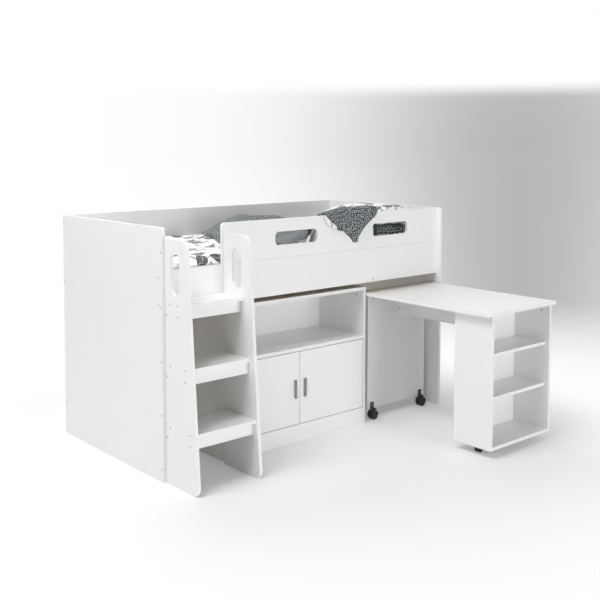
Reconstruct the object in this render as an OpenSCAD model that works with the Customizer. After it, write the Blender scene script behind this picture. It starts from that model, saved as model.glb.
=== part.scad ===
// Mid-height cabin bed with a ladder, a cupboard and a desk on castors that rolls out from under it.
// Millimetres, +Z up, +Y to the back. The origin is on the floor, under the middle of the bounding box
// with the desk pulled out.

/* [Bed frame] */
// Thickness of the boards
board_t = 16; // [15:1:19]
// Radius on the upper front corner of an end panel
panel_corner_r = 14; // [4:1:40]
// How far the front rail stands back from the end panels' front edges
rail_set_back = 24; // [20:1:40]
// Height of the rails' lower edge above the floor
rail_z = 800; // [790:5:830]
// Height of the front rail, and of the lower back rail
rail_h = 188; // [160:2:200]
// Height of the guard panel, whose top is level with the end panels
guard_h = 202; // [180:2:300]
// Height of the lower back rail's lower edge above the floor
low_rail_z = 12; // [5:1:60]
// Radius on the guard panel's free upper corner
guard_corner_r = 20; // [5:1:50]
// How far the guard panel reaches past the ladder board's inner face
guard_lap = 8; // [2:1:15]
// Depth of the guard panel's eased outer edge, where it stands on the front rail
seam_ease = 2.4; // [1:0.2:3]

/* [Guard slots] */
// Length of a hand slot in the guard panel
slot_l = 292; // [200:2:320]
// Height of a hand slot in the guard panel
slot_h = 70; // [50:1:90]
// Corner radius of a hand slot
slot_r = 24; // [8:1:24]
// Top of the guard panel to the top of the slots
slot_drop = 65; // [45:1:80]
// Right end of the right slot to the end panel
slot_end = 266; // [120:2:280]
// Space between the two slots
slot_gap = 416; // [300:2:440]

/* [Slats and mattress] */
// Height of a slat batten
batten_h = 28; // [20:1:36]
// Width of a slat batten
batten_w = 18; // [14:1:26]
// Number of slats
slat_count = 14; // [10:1:18]
// Width of a slat
slat_w = 60; // [45:1:75]
// Thickness of a slat
slat_t = 18; // [12:1:20]
// Space at each end of a slat
slat_gap = 2; // [1:0.5:5]
// Cross tie's distance from the right end panel's inner face
tie_inset = 546; // [300:2:900]
// Length of the mattress
mattress_l = 1900; // [1800:5:1920]
// Width of the mattress
mattress_w = 900; // [860:5:900]
// Thickness of the mattress
mattress_t = 150; // [100:5:160]
// Corner radius of the mattress
mattress_r = 45; // [20:5:80]
// Space between the mattress and an end panel
mattress_end = 24; // [4:1:60]
// Space between the mattress and the rails on both sides
mattress_side = 4.5; // [2:0.5:20]

/* [Ladder] */
// Clear width between the ladder boards, which is the length of a tread
step_l = 338; // [300:2:380]
// Top of the end panels to the top of the ladder boards
ladder_drop = 48; // [20:2:90]
// Reach of a ladder board from the rail, at its top
ladder_top_d = 190; // [170:1:230]
// Reach of a ladder board from the rail, at the floor
ladder_foot_d = 279; // [255:1:330]
// Radius on a ladder board's upper front corner
ladder_top_r = 48; // [20:1:60]
// Radius on a ladder board's lower front corner
ladder_foot_r = 38; // [10:1:60]
// Width of the hand slot in a ladder board
grip_w = 74; // [50:1:80]
// Height of the hand slot in a ladder board
grip_h = 193; // [140:1:220]
// Rail face to the middle of the hand slot
grip_d = 102; // [90:1:110]
// Top of the ladder board to the middle of the hand slot
grip_drop = 159; // [150:1:190]
// Height of the lowest tread's top above the floor
tread_z = 278; // [250:2:290]
// Height of the highest tread's top above the front rail's lower edge
tread_top_up = 50; // [20:2:90]
// Depth of the highest tread
tread_d = 157; // [140:1:170]
// How much deeper each lower tread is
tread_grow = 46; // [20:1:50]
// How far each apron stands back from its tread's nosing, from the lowest tread up
apron_back = [25, 14, 26];
// Height of the aprons and back rails under the treads
apron_h = 58; // [40:1:80]
// Rail face to the back rails under the treads
step_rail_d = 26; // [20:1:40]

/* [Cupboard] */
// Depth of the cupboard
cupboard_d = 360; // [320:5:400]
// Space between the cupboard's top and the front rail
cupboard_gap = 25; // [10:1:60]
// How far the cupboard's front stands behind the rail's face
cupboard_set_back = 12; // [9:1:40]
// Thickness of the cupboard's top and niche shelf
shelf_t = 18; // [16:1:22]
// How far the top reaches past each side
top_over = 4; // [0:0.5:4]
// Height of the niche shelf's top above the floor
niche_z = 503; // [440:1:560]
// Height of the plinth
plinth_h = 93; // [60:1:120]
// Thickness of the cupboard's back
back_t = 3; // [2.5:0.5:6]
// Gap round the doors
door_gap = 3; // [1.5:0.5:4]
// Length of a handle
handle_l = 98; // [80:2:140]
// Width of a handle
handle_w = 11; // [8:1:14]
// How far a handle stands out from its door
handle_out = 13; // [11:1:14]
// Thickness of a handle's bar
handle_t = 7; // [4:0.5:8]
// Middle of a handle to its door's free edge
handle_in = 32; // [25:1:60]
// Height of a handle's middle above the floor
handle_z = 286; // [220:1:400]

/* [Desk] */
// Bed front to the desktop's front edge, with the desk pulled out
desk_reach = 790; // [700:5:820]
// Width of the desktop
desk_w = 586; // [560:1:588]
// Depth of the desktop
desk_d = 890; // [860:1:910]
// Space between the desktop and the boards on both sides of it
desk_side = 4; // [3:0.5:10]
// Space between the desktop and the front rail above it
desk_gap = 60; // [30:1:90]
// Thickness of the desktop
desk_t = 18; // [16:1:25]
// How far the desktop reaches past the front, the back and the right of what carries it
desk_over = [4, 3, 35];
// Left end of the desktop to the bookcase
bookcase_in = 39; // [20:1:150]
// Depth of the bookcase
bookcase_d = 231; // [180:1:260]
// Height of the bookcase's underside above the floor
bookcase_z = 44; // [44:1:70]
// How far the shelves stand back from the bookcase's front
shelf_back = 25; // [10:1:40]
// Heights of the two shelves' tops above the floor
shelf_z = [304, 525];
// Left end of the desktop to the rear panel
rear_in = 63; // [20:1:170]
// Height of the rear panel's lower edge above the floor
rear_z = 54; // [54:1:70]
// Height of the stretcher under the desktop
stretcher_h = 136; // [80:2:180]

/* [Castors] */
// Radius of the rear castors' wheels
rear_wheel_r = 25; // [20:0.5:25]
// Radius of the front castors' wheels
front_wheel_r = 18; // [15:0.5:18]
// Thickness of one wheel of a rear castor
rear_wheel_t = 13; // [9:0.5:15]
// Thickness of one wheel of a front castor
front_wheel_t = 9; // [7:0.5:11]
// Swivel axis to wheel axle
trail = 14; // [10:0.5:18]
// Rear castors: distance from the rear panel's edges to the swivel axis
rear_castor_in = 37; // [20:1:80]
// Rear castors: distance from the rear panel's face to the swivel axis
rear_castor_out = 21; // [18:1:30]
// Front castors: distance from the bookcase's sides to the swivel axis
front_castor_in = 75; // [50:1:120]

/* [Bedding] */
// Thickness of the duvet
duvet_t = 38; // [25:1:45]
// Space between the duvet's foot end and the left end panel
duvet_foot = 8; // [4:1:60]
// Thickness of the part of the duvet that is turned back
turned_t = 24; // [12:1:30]
// Length of the part that is turned back, at the back of the bed
turned_l = 634; // [450:2:700]
// How high the turned part bunches up in the middle of the bed
bunch_rise = 90; // [20:2:110]
// How far the corner bulges above the guard's edge
corner_rise = 34; // [10:1:40]
// How far the corner hangs below the guard's edge
corner_hang = 157; // [100:1:190]
// Thickness of the hanging corner
corner_t = 6; // [4:0.5:10]
// Length of the lower pillow, across the bed
pillow_l = 740; // [600:10:780]
// Length of the upper pillow, across the bed
pillow_upper_l = 430; // [380:10:480]
// Width of a pillow
pillow_w = 440; // [380:10:470]
// Thickness of a pillow in its middle
pillow_t = 118; // [80:2:130]
// How much a pillow is flattened where it lies
pillow_press = 14; // [4:1:24]
// Space between the pillows and the right end panel
pillow_end = 52; // [12:2:80]
// Space between the pillows and the front rail
pillow_side = 45; // [20:5:120]

/* [Hidden] */
$fn = 48;

white = [0.93, 0.93, 0.92];
inner_white = [0.88, 0.88, 0.87];
pine = [0.85, 0.72, 0.52];
zinc = [0.66, 0.67, 0.69];
grey_metal = [0.45, 0.46, 0.47];
black = [0.06, 0.06, 0.07];
linen = [0.92, 0.92, 0.90];
slate = [0.20, 0.25, 0.30];

// Bed frame: the mattress sets its length and depth
bed_l = mattress_l + 2 * (mattress_end + board_t);
bed_d = rail_set_back + 2 * (board_t + mattress_side) + mattress_w;
bed_h = rail_z + rail_h + guard_h;
x_left = -bed_l / 2;
x_right = bed_l / 2;
x_in_left = x_left + board_t;
x_in_right = x_right - board_t;
y_front = (desk_reach - bed_d) / 2;
y_back = y_front + bed_d;
y_rail = y_front + rail_set_back;
y_rail_in = y_rail + board_t;
y_back_in = y_back - board_t;
rail_top = rail_z + rail_h;

// Ladder
x_step_left = x_in_left + board_t;
x_step_right = x_step_left + step_l;
x_guard = x_step_right - guard_lap;
ladder_h = bed_h - ladder_drop;
ladder_slope = (ladder_foot_d - ladder_top_d) / ladder_h;
tread_rise = (rail_z + tread_top_up - tread_z) / 2;

// Screws: head in a counterbore, shank in a bore
screw_head_r = 4.5;
screw_head_h = 3;
screw_r = 3;
screw_fit = 0.1;
panel_screw_l = 50;
ladder_screw_l = 40;
strap_screw_l = 28;
tie_screw_l = 64;
edge_inset = 31;
column_inset = [62, 66];
column_count = 5;

// Slats
x_tie = x_in_right - tie_inset;
slat_z = rail_z + batten_h;
mattress_z = slat_z + slat_t;
mattress_top = mattress_z + mattress_t;

// Cupboard: it fills what the ladder and the desk leave
cupboard_w = x_in_right - x_step_right - board_t - desk_w - 2 * desk_side;
cupboard_h = rail_z - cupboard_gap;
x_cup_left = x_step_right + board_t;
x_cup_right = x_cup_left + cupboard_w;
y_cup = y_rail + cupboard_set_back;
y_cup_back = y_cup + cupboard_d - back_t;
cup_top_z = cupboard_h - shelf_t;
door_w = (cupboard_w - 2 * board_t - 3 * door_gap) / 2;
door_z = plinth_h + door_gap;
door_h = niche_z - shelf_t - door_gap - door_z;
x_door_left = x_cup_left + board_t + door_gap;
x_door_right = x_cup_right - board_t - door_gap;
hinge_cup_r = 17.5;
hinge_cup_d = 11;
hinge_cup_in = 22;
hinge_flange_t = 1.5;
hinge_inset = 70;
hinge_flange = [4, 42, 24];
hinge_plate = [3, 40, 32];
hinge_plate_back = 18;
hinge_bar = [9, 56, 12];
hinge_play = 0.5;

// Cam fasteners
cam_r = 6;
cam_d = 11;
cam_bolt_r = 3;
cam_reach = 32;
cam_bite = 9;
cam_fit = 0.1;

// Desk
desk_h = rail_z - desk_gap;
x_desk = x_cup_right + desk_side;
y_desk = y_front - desk_reach;
y_desk_back = y_desk + desk_d;
desk_under = desk_h - desk_t;
x_case_right = x_desk + desk_w - desk_over[2];
x_case = x_desk + bookcase_in;
y_case = y_desk + desk_over[0];
y_case_back = y_case + bookcase_d;
y_rear = y_desk_back - desk_over[1] - board_t;
x_rear = x_desk + rear_in;
x_stretcher = x_desk + desk_w / 2 - board_t / 2;

// Castors
plate_t = 2.5;
hood_gap = 0.8;
hood_t = 1.2;
web_t = 9;
axle_r = 3;
pintle_r = 4;
run_fit = 0.1;
lug_t = 4;
lug_r = 11;
rear_plate = [28, 36];
front_plate = 42;
castor_screw_r = 1.8;
castor_head_r = 3.2;
castor_head_h = 1.6;
castor_screw_l = 12;
rear_castors = [
    [x_rear + rear_castor_in, y_rear - rear_castor_out],
    [x_case_right - rear_castor_in, y_rear - rear_castor_out]
];
front_castors = [
    [x_case + front_castor_in, y_case + bookcase_d / 2],
    [x_case_right - front_castor_in, y_case + bookcase_d / 2]
];

// Bedding
soft_gap = 0.4;
y_mid = (y_rail_in + y_back_in) / 2;

// ---------- shapes that repeat ----------

// A flat outline in depth and height, given the board thickness along X
module board_across(x) {
    translate([x, 0, 0]) rotate([90, 0, 90]) linear_extrude(board_t) children();
}

// A flat outline in length and height, given the board thickness along Y
module board_along(y) {
    translate([0, y + board_t, 0]) rotate([90, 0, 0]) linear_extrude(board_t) children();
}

module box_between(low, high) {
    translate(low) cube(high - low);
}

module round_slot(w, h, r) {
    for (x = [r, w - r], z = [r, h - r]) translate([x, z]) circle(r);
    translate([r, 0]) square([w - 2 * r, h]);
    translate([0, r]) square([w, h - 2 * r]);
}

function arc(c, r, from, to, steps = 10) =
    [for (i = [0:steps]) c + r * [cos(from + (to - from) * i / steps), sin(from + (to - from) * i / steps)]];

// A screw along +Z with its head's top at the origin; grow makes the hole it needs
module screw(length, grow = 0) {
    translate([0, 0, grow > 0 ? -1 : 0]) cylinder(r = screw_head_r + grow, h = screw_head_h + (grow > 0 ? 1 : 0));
    cylinder(r = screw_r + grow, h = length + grow);
}

module screws_at(places, turn, length, grow = 0) {
    for (p = places) translate(p) rotate(turn) screw(length, grow);
}

function turn(v) = v[2] != 0 ? [v[2] > 0 ? 0 : 180, 0, 0] : v[0] != 0 ? [0, 90 * v[0], 0] : [-90 * v[1], 0, 0];

// A cam disc set into a board's face, with its bolt in the middle of the board's thickness t. into is the
// disc's direction, way the bolt's; grow makes the holes they need.
module cam(place, into, way, t = board_t, grow = 0) {
    cut = grow > 0 ? 1 : 0;
    translate(place - into * cut) rotate(turn(into)) cylinder(r = cam_r + grow, h = cam_d + cut * (1 + grow));
    translate(place + into * t / 2 + way * (cut > 0 ? 0 : cam_r + 0.3)) rotate(turn(way))
        cylinder(r = cam_bolt_r + grow, h = cam_reach + cam_bite + grow - (cut > 0 ? 0 : cam_r + 0.3));
}

// ---------- fixings ----------

column_z = [for (i = [0:column_count - 1])
    column_inset[0] + i * (ladder_h - column_inset[0] - column_inset[1]) / (column_count - 1)];
rail_end_z = [rail_z + edge_inset, rail_top - edge_inset];
back_end_z = [rail_z + edge_inset, bed_h - edge_inset - 9];
low_end_z = [low_rail_z + edge_inset, low_rail_z + rail_h - edge_inset];
guard_end_z = [rail_top + edge_inset, bed_h - edge_inset];
y_rail_mid = y_rail + board_t / 2;
y_back_mid = y_back - board_t / 2;
y_column = y_front + rail_set_back / 2;

// Fixings through an end panel into the rails' ends: [y, z] pairs
rail_fixings = concat(
    [for (z = rail_end_z) [y_rail_mid, z]],
    [for (z = back_end_z) [y_back_mid, z]],
    [for (z = low_end_z) [y_back_mid, z]]
);

module left_screws(grow = 0) {
    screws_at([for (p = rail_fixings) [x_left, p[0], p[1]]], [0, 90, 0], panel_screw_l, grow);
    screws_at([for (z = column_z) [x_left, y_column, z]], [0, 90, 0], strap_screw_l, grow);
}

module right_screws(grow = 0) {
    screws_at([for (p = rail_fixings) [x_right, p[0], p[1]]], [0, -90, 0], panel_screw_l, grow);
    screws_at([for (z = guard_end_z) [x_right, y_rail_mid, z]], [0, -90, 0], panel_screw_l, grow);
}

module tie_screws(grow = 0) {
    tie_z = rail_z + batten_h / 2;
    screws_at([[x_tie, y_rail, tie_z]], [-90, 0, 0], tie_screw_l, grow);
    screws_at([[x_tie, y_back, tie_z]], [90, 0, 0], tie_screw_l, grow);
}

// Bolts from inside the bed through the rail and the guard into the right ladder board's edge
module ladder_bolts(grow = 0) {
    x_mid = x_step_right + board_t / 2;
    screws_at([for (z = [rail_z + 95, rail_top - 35, rail_top + 72]) [x_mid, y_rail_in, z]],
        [90, 0, 0], panel_screw_l, grow);
}

dowel_r = 4;
dowel_l = 60;
dowel_in = 150;
dowel_count = 4;
dowel_x = [for (i = [0:dowel_count - 1])
    x_guard + dowel_in + i * (x_in_right - x_guard - 2 * dowel_in) / (dowel_count - 1)];

module dowels(grow = 0) {
    for (x = dowel_x) translate([x, y_rail_mid, rail_top - dowel_l / 2 - grow])
        cylinder(r = dowel_r + grow, h = dowel_l + 2 * grow);
}

// ---------- bed frame ----------

module end_panel(x) {
    board_across(x) difference() {
        translate([y_front, 0]) square([bed_d, bed_h]);
        translate([y_front + panel_corner_r, bed_h - panel_corner_r]) mirror([1, 0])
            difference() {
                square(panel_corner_r + 1);
                circle(panel_corner_r);
            }
    }
}

module end_panel_left() {
    color(white) difference() {
        end_panel(x_left);
        left_screws(screw_fit);
    }
}

module end_panel_right() {
    color(white) difference() {
        end_panel(x_in_right);
        right_screws(screw_fit);
    }
}

// Eases the guard's outer edge where it stands on the rail, which leaves a fine line between the two
module seam_groove() {
    translate([x_in_left, y_rail, rail_top]) rotate([45, 0, 0])
        translate([0, -seam_ease * sqrt(2) / 2, -seam_ease * sqrt(2) / 2])
            cube([x_in_right - x_in_left, seam_ease * sqrt(2), seam_ease * sqrt(2)]);
}

module front_rail() {
    color(white) difference() {
        box_between([x_in_left, y_rail, rail_z], [x_in_right, y_rail_in, rail_top]);
        left_screws(screw_fit);
        right_screws(screw_fit);
        tie_screws(screw_fit);
        ladder_bolts(screw_fit);
        dowels(screw_fit);
    }
}

module guard_panel() {
    color(white) difference() {
        board_along(y_rail) difference() {
            translate([x_guard, rail_top]) square([x_in_right - x_guard, guard_h]);
            translate([x_guard + guard_corner_r, bed_h - guard_corner_r]) mirror([1, 0])
                difference() {
                    square(guard_corner_r + 1);
                    circle(guard_corner_r);
                }
            for (i = [0, 1])
                translate([x_in_right - slot_end - slot_l - i * (slot_l + slot_gap), bed_h - slot_drop - slot_h])
                    round_slot(slot_l, slot_h, slot_r);
        }
        seam_groove();
        right_screws(screw_fit);
        ladder_bolts(screw_fit);
        dowels(screw_fit);
    }
}

module back_panel() {
    color(white) difference() {
        box_between([x_in_left, y_back_in, rail_z], [x_in_right, y_back, bed_h]);
        left_screws(screw_fit);
        right_screws(screw_fit);
        tie_screws(screw_fit);
    }
}

module back_lower_rail() {
    color(white) difference() {
        box_between([x_in_left, y_back_in, low_rail_z], [x_in_right, y_back, low_rail_z + rail_h]);
        left_screws(screw_fit);
        right_screws(screw_fit);
    }
}

module slat_battens() {
    color(pine) difference() {
        for (y = [y_rail_in, y_back_in - batten_w])
            box_between([x_in_left, y, rail_z], [x_in_right, y + batten_w, rail_z + batten_h]);
        tie_screws(screw_fit);
    }
}

module cross_tie() {
    color(pine) difference() {
        box_between([x_tie - board_t / 2, y_rail_in + batten_w, rail_z],
            [x_tie + board_t / 2, y_back_in - batten_w, rail_z + batten_h]);
        tie_screws(screw_fit);
    }
}

module slats() {
    pitch = (x_in_right - x_in_left - slat_w - 2 * slat_gap) / (slat_count - 1);
    color(pine) for (i = [0:slat_count - 1])
        translate([x_in_left + slat_gap + i * pitch, y_rail_in + slat_gap, slat_z])
            cube([slat_w, y_back_in - y_rail_in - 2 * slat_gap, slat_t]);
}

module frame_screws() {
    color(zinc) {
        left_screws();
        right_screws();
        tie_screws();
        ladder_bolts();
        for (i = [0:2]) step_screws(i);
    }
}

module guard_dowels() {
    color(pine) dowels();
}

// ---------- ladder ----------

// Reach of the ladder board's front edge from the rail at a height
function ladder_reach(z) = ladder_foot_d - ladder_slope * z;

module ladder_outline() {
    lean = atan(ladder_slope);
    stretch = 1 / cos(lean);
    top_c = [ladder_reach(ladder_h - ladder_top_r) - ladder_top_r * stretch, ladder_h - ladder_top_r];
    foot_c = [ladder_reach(ladder_foot_r) - ladder_foot_r * stretch, ladder_foot_r];
    difference() {
        polygon(concat([[0, 0]], arc(foot_c, ladder_foot_r, -90, lean), arc(top_c, ladder_top_r, lean, 90),
            [[0, ladder_h]]));
        translate([grip_d, ladder_h - grip_drop]) {
            for (s = [-1, 1]) translate([0, s * (grip_h - grip_w) / 2]) circle(grip_w / 2);
            square([grip_w, grip_h - grip_w], center = true);
        }
    }
}

module ladder_board(x) {
    translate([x, y_rail, 0]) rotate([90, 0, 90]) mirror([1, 0, 0]) linear_extrude(board_t) ladder_outline();
}

function tread_top_z(i) = tread_z + i * tread_rise;
function tread_depth(i) = tread_d + (2 - i) * tread_grow;
function y_nosing(i) = y_rail - tread_depth(i);
function y_apron(i) = y_nosing(i) + apron_back[i];
y_step_rail = y_rail - step_rail_d - board_t;

// Fixings through a ladder board into one step: [y, z] pairs
function step_fixings(i) = [
    [y_apron(i) + board_t / 2, tread_top_z(i) - board_t / 2],
    [y_step_rail - 18, tread_top_z(i) - board_t / 2],
    [y_apron(i) + board_t / 2, tread_top_z(i) - board_t - apron_h + 14],
    [y_step_rail + board_t / 2, tread_top_z(i) - board_t - apron_h + 14]
];

module step_screws(i, grow = 0) {
    screws_at([for (p = step_fixings(i)) [x_in_left, p[0], p[1]]], [0, 90, 0], ladder_screw_l, grow);
    screws_at([for (p = step_fixings(i)) [x_step_right + board_t, p[0], p[1]]], [0, -90, 0], ladder_screw_l,
        grow);
}

module ladder_board_left() {
    color(white) difference() {
        ladder_board(x_in_left);
        left_screws(screw_fit);
        for (i = [0:2]) step_screws(i, screw_fit);
    }
}

module ladder_board_right() {
    color(white) difference() {
        ladder_board(x_step_right);
        ladder_bolts(screw_fit);
        for (i = [0:2]) step_screws(i, screw_fit);
    }
}

module tread(i) {
    color(white) difference() {
        box_between([x_step_left, y_nosing(i), tread_top_z(i) - board_t],
            [x_step_right, y_rail, tread_top_z(i)]);
        step_screws(i, screw_fit);
    }
}

module under_tread(i, y) {
    color(white) difference() {
        box_between([x_step_left, y, tread_top_z(i) - board_t - apron_h],
            [x_step_right, y + board_t, tread_top_z(i) - board_t]);
        step_screws(i, screw_fit);
    }
}

module step_back_rails() {
    for (i = [0:2]) under_tread(i, y_step_rail);
}

// ---------- cupboard ----------

cup_cam_y = [y_cup + 56, y_cup_back - 56];
x_cup_in = [x_cup_left + board_t, x_cup_right - board_t];

// Cams in the sides' inner faces hold the top; cams under the shelf and the bottom hold them to the sides
module top_cams(grow = 0) {
    for (y = cup_cam_y, i = [0, 1])
        cam([x_cup_in[i], y, cup_top_z - cam_reach], [2 * i - 1, 0, 0], [0, 0, 1], board_t, grow);
}

module side_cams(z, grow = 0) {
    for (y = cup_cam_y, side = [-1, 1])
        cam([side < 0 ? x_cup_in[0] + cam_reach : x_cup_in[1] - cam_reach, y, z], [0, 0, 1], [side, 0, 0],
            shelf_t, grow);
}

bottom_under = plinth_h - shelf_t;
shelf_under = niche_z - shelf_t;

module all_cup_cams(grow = 0) {
    top_cams(grow);
    side_cams(shelf_under, grow);
    side_cams(bottom_under, grow);
}

module cupboard_side(x) {
    color(white) difference() {
        box_between([x, y_cup, 0], [x + board_t, y_cup_back, cup_top_z]);
        all_cup_cams(cam_fit);
    }
}

module cupboard_side_left() {
    cupboard_side(x_cup_left);
}

module cupboard_side_right() {
    cupboard_side(x_cup_right - board_t);
}

module cupboard_top() {
    color(white) difference() {
        box_between([x_cup_left - top_over, y_cup, cup_top_z],
            [x_cup_right + top_over, y_cup_back + back_t, cupboard_h]);
        top_cams(cam_fit);
    }
}

module niche_shelf() {
    color(white) difference() {
        box_between([x_cup_in[0], y_cup, shelf_under], [x_cup_in[1], y_cup_back, niche_z]);
        side_cams(shelf_under, cam_fit);
    }
}

module cupboard_bottom() {
    color(white) difference() {
        box_between([x_cup_in[0], y_cup + board_t, bottom_under], [x_cup_in[1], y_cup_back, plinth_h]);
        side_cams(bottom_under, cam_fit);
    }
}

module plinth() {
    color(white) box_between([x_cup_in[0], y_cup, 0], [x_cup_in[1], y_cup + board_t, plinth_h]);
}

module cupboard_back() {
    color(inner_white)
        box_between([x_cup_left, y_cup_back, bottom_under], [x_cup_right, y_cup_back + back_t, cup_top_z]);
}

hinge_z = [door_z + hinge_inset, door_z + door_h - hinge_inset];

// side is 1 for the left door, -1 for the right one; x is the door's hinged edge
module hinge_cups(x, side, grow = 0) {
    for (z = hinge_z) translate([x + side * hinge_cup_in, y_cup + board_t, z]) rotate([90, 0, 0])
        translate([0, 0, grow > 0 ? -1 : 0])
            cylinder(r = hinge_cup_r + grow, h = hinge_cup_d + (grow > 0 ? 1 + grow : 0));
}

module door(x, side) {
    low = side > 0 ? x : x - door_w;
    color(white) difference() {
        box_between([low, y_cup, door_z], [low + door_w, y_cup + board_t, door_z + door_h]);
        hinge_cups(x, side, cam_fit);
    }
}

module door_left() {
    door(x_door_left, 1);
}

module door_right() {
    door(x_door_right, -1);
}

module handle(x) {
    foot = handle_l / 2 - handle_w;
    color(grey_metal) {
        translate([x, y_cup, handle_z]) rotate([90, 0, 0]) {
            for (s = [-1, 1]) translate([0, s * foot, 0]) cylinder(r = handle_w * 0.32, h = handle_out - handle_t / 2);
            translate([-handle_w / 2, -handle_l / 2, handle_out - handle_t]) cube([handle_w, handle_l, handle_t]);
        }
    }
}

module handle_left() {
    handle(x_door_left + door_w - handle_in);
}

module handle_right() {
    handle(x_door_right - door_w + handle_in);
}

// Cup with its flange, which lies on the door's back
module hinge_set(x, side) {
    color(zinc) {
        hinge_cups(x, side);
        for (z = hinge_z) box_between(
            [min(x + side * hinge_flange[0], x + side * hinge_flange[1]), y_cup + board_t, z - hinge_flange[2]],
            [max(x + side * hinge_flange[0], x + side * hinge_flange[1]), y_cup + board_t + hinge_flange_t,
                z + hinge_flange[2]]);
    }
}

module hinge_cups_left() {
    hinge_set(x_door_left, 1);
}

module hinge_cups_right() {
    hinge_set(x_door_right, -1);
}

// Mounting plate on the cupboard side, with the hinge's arm on it
module hinge_arm(x, side, z) {
    y_arm = y_cup + board_t + hinge_flange_t + hinge_play;
    translate([x, y_arm, z]) mirror([side > 0 ? 0 : 1, 0, 0]) {
        translate([0, hinge_plate_back, -hinge_plate[2] / 2]) cube(hinge_plate);
        translate([hinge_plate[0], 0, -hinge_bar[2] / 2]) cube(hinge_bar);
    }
}

module hinge_arms() {
    color(zinc) for (z = hinge_z) {
        hinge_arm(x_cup_in[0], 1, z);
        hinge_arm(x_cup_in[1], -1, z);
    }
}

module cupboard_cams() {
    color(zinc) all_cup_cams();
}

// ---------- desk ----------

case_cam_y = [y_case + 50, y_case_back - 50];
x_case_in = [x_case + board_t, x_case_right - board_t];
rear_cam_in = 43;
rear_cam_x = [x_rear + rear_cam_in, x_case_right - rear_cam_in];
stretcher_under = desk_under - stretcher_h;

module desk_cams_all(grow = 0) {
    for (y = case_cam_y, i = [0, 1])
        cam([x_case_in[i], y, desk_under - cam_reach], [2 * i - 1, 0, 0], [0, 0, 1], board_t, grow);
    for (x = rear_cam_x) cam([x, y_rear, desk_under - cam_reach], [0, 1, 0], [0, 0, 1], board_t, grow);
    z = stretcher_under + 30;
    cam([x_stretcher, y_rear - cam_reach, z], [1, 0, 0], [0, 1, 0], board_t, grow);
    cam([x_stretcher, y_case_back + cam_reach, z], [1, 0, 0], [0, -1, 0], board_t, grow);
}

module desktop() {
    color(white) difference() {
        box_between([x_desk, y_desk, desk_under], [x_desk + desk_w, y_desk_back, desk_h]);
        desk_cams_all(cam_fit);
    }
}

module desk_rear_panel() {
    color(white) difference() {
        box_between([x_rear, y_rear, rear_z], [x_case_right, y_rear + board_t, desk_under]);
        desk_cams_all(cam_fit);
        castor_screw_set(cam_fit);
    }
}

module desk_stretcher() {
    color(white) difference() {
        box_between([x_stretcher, y_case_back, stretcher_under], [x_stretcher + board_t, y_rear, desk_under]);
        desk_cams_all(cam_fit);
    }
}

module bookcase_side(x) {
    color(white) difference() {
        box_between([x, y_case, bookcase_z], [x + board_t, y_case_back, desk_under]);
        desk_cams_all(cam_fit);
    }
}

module bookcase_side_left() {
    bookcase_side(x_case);
}

module bookcase_side_right() {
    bookcase_side(x_case_right - board_t);
}

module bookcase_back() {
    color(white) difference() {
        box_between([x_case_in[0], y_case_back - board_t, bookcase_z + board_t],
            [x_case_in[1], y_case_back, desk_under]);
        desk_cams_all(cam_fit);
    }
}

module bookcase_shelf(i) {
    color(white) box_between([x_case_in[0], y_case + shelf_back, shelf_z[i] - board_t],
        [x_case_in[1], y_case_back - board_t, shelf_z[i]]);
}

module bookcase_bottom() {
    color(white) difference() {
        box_between([x_case_in[0], y_case, bookcase_z], [x_case_in[1], y_case_back, bookcase_z + board_t]);
        castor_screw_set(cam_fit);
    }
}

module desk_cams() {
    color(zinc) desk_cams_all();
}

// ---------- castors ----------

rear_lug_z = rear_z;
front_lug_z = bookcase_z - plate_t;

// Screws: two through each upright plate, four through each flat plate
module castor_screw(grow = 0) {
    cylinder(r = castor_head_r + grow, h = castor_head_h);
    cylinder(r = castor_screw_r + grow, h = castor_screw_l + grow);
}

module castor_screw_set(grow = 0) {
    for (c = rear_castors, z = [14, 26])
        translate([c[0], y_rear - plate_t - castor_head_h, rear_z + z]) rotate([-90, 0, 0])
            castor_screw(grow);
    for (c = front_castors, x = [-1, 1], y = [-1, 1])
        translate([c[0] + x * 15, c[1] + y * 15, front_lug_z - castor_head_h]) castor_screw(grow);
}

module castor_mounts() {
    color(black) difference() {
        union() {
            for (c = rear_castors) {
                translate([c[0] - rear_plate[0] / 2, y_rear - plate_t, rear_z])
                    cube([rear_plate[0], plate_t, rear_plate[1]]);
                translate([c[0] - lug_r, c[1], rear_lug_z]) cube([2 * lug_r, rear_castor_out, lug_t]);
                translate([c[0], c[1], rear_lug_z]) cylinder(r = lug_r, h = lug_t);
            }
            for (c = front_castors) translate([c[0] - front_plate / 2, c[1] - front_plate / 2, front_lug_z])
                cube([front_plate, front_plate, plate_t]);
        }
        for (c = concat(rear_castors, front_castors)) translate([c[0], c[1], 0])
            cylinder(r = pintle_r + run_fit, h = rear_lug_z + lug_t + 1);
        castor_screw_set(screw_fit);
    }
}

module castor_screws() {
    color(zinc) castor_screw_set();
}

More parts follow.
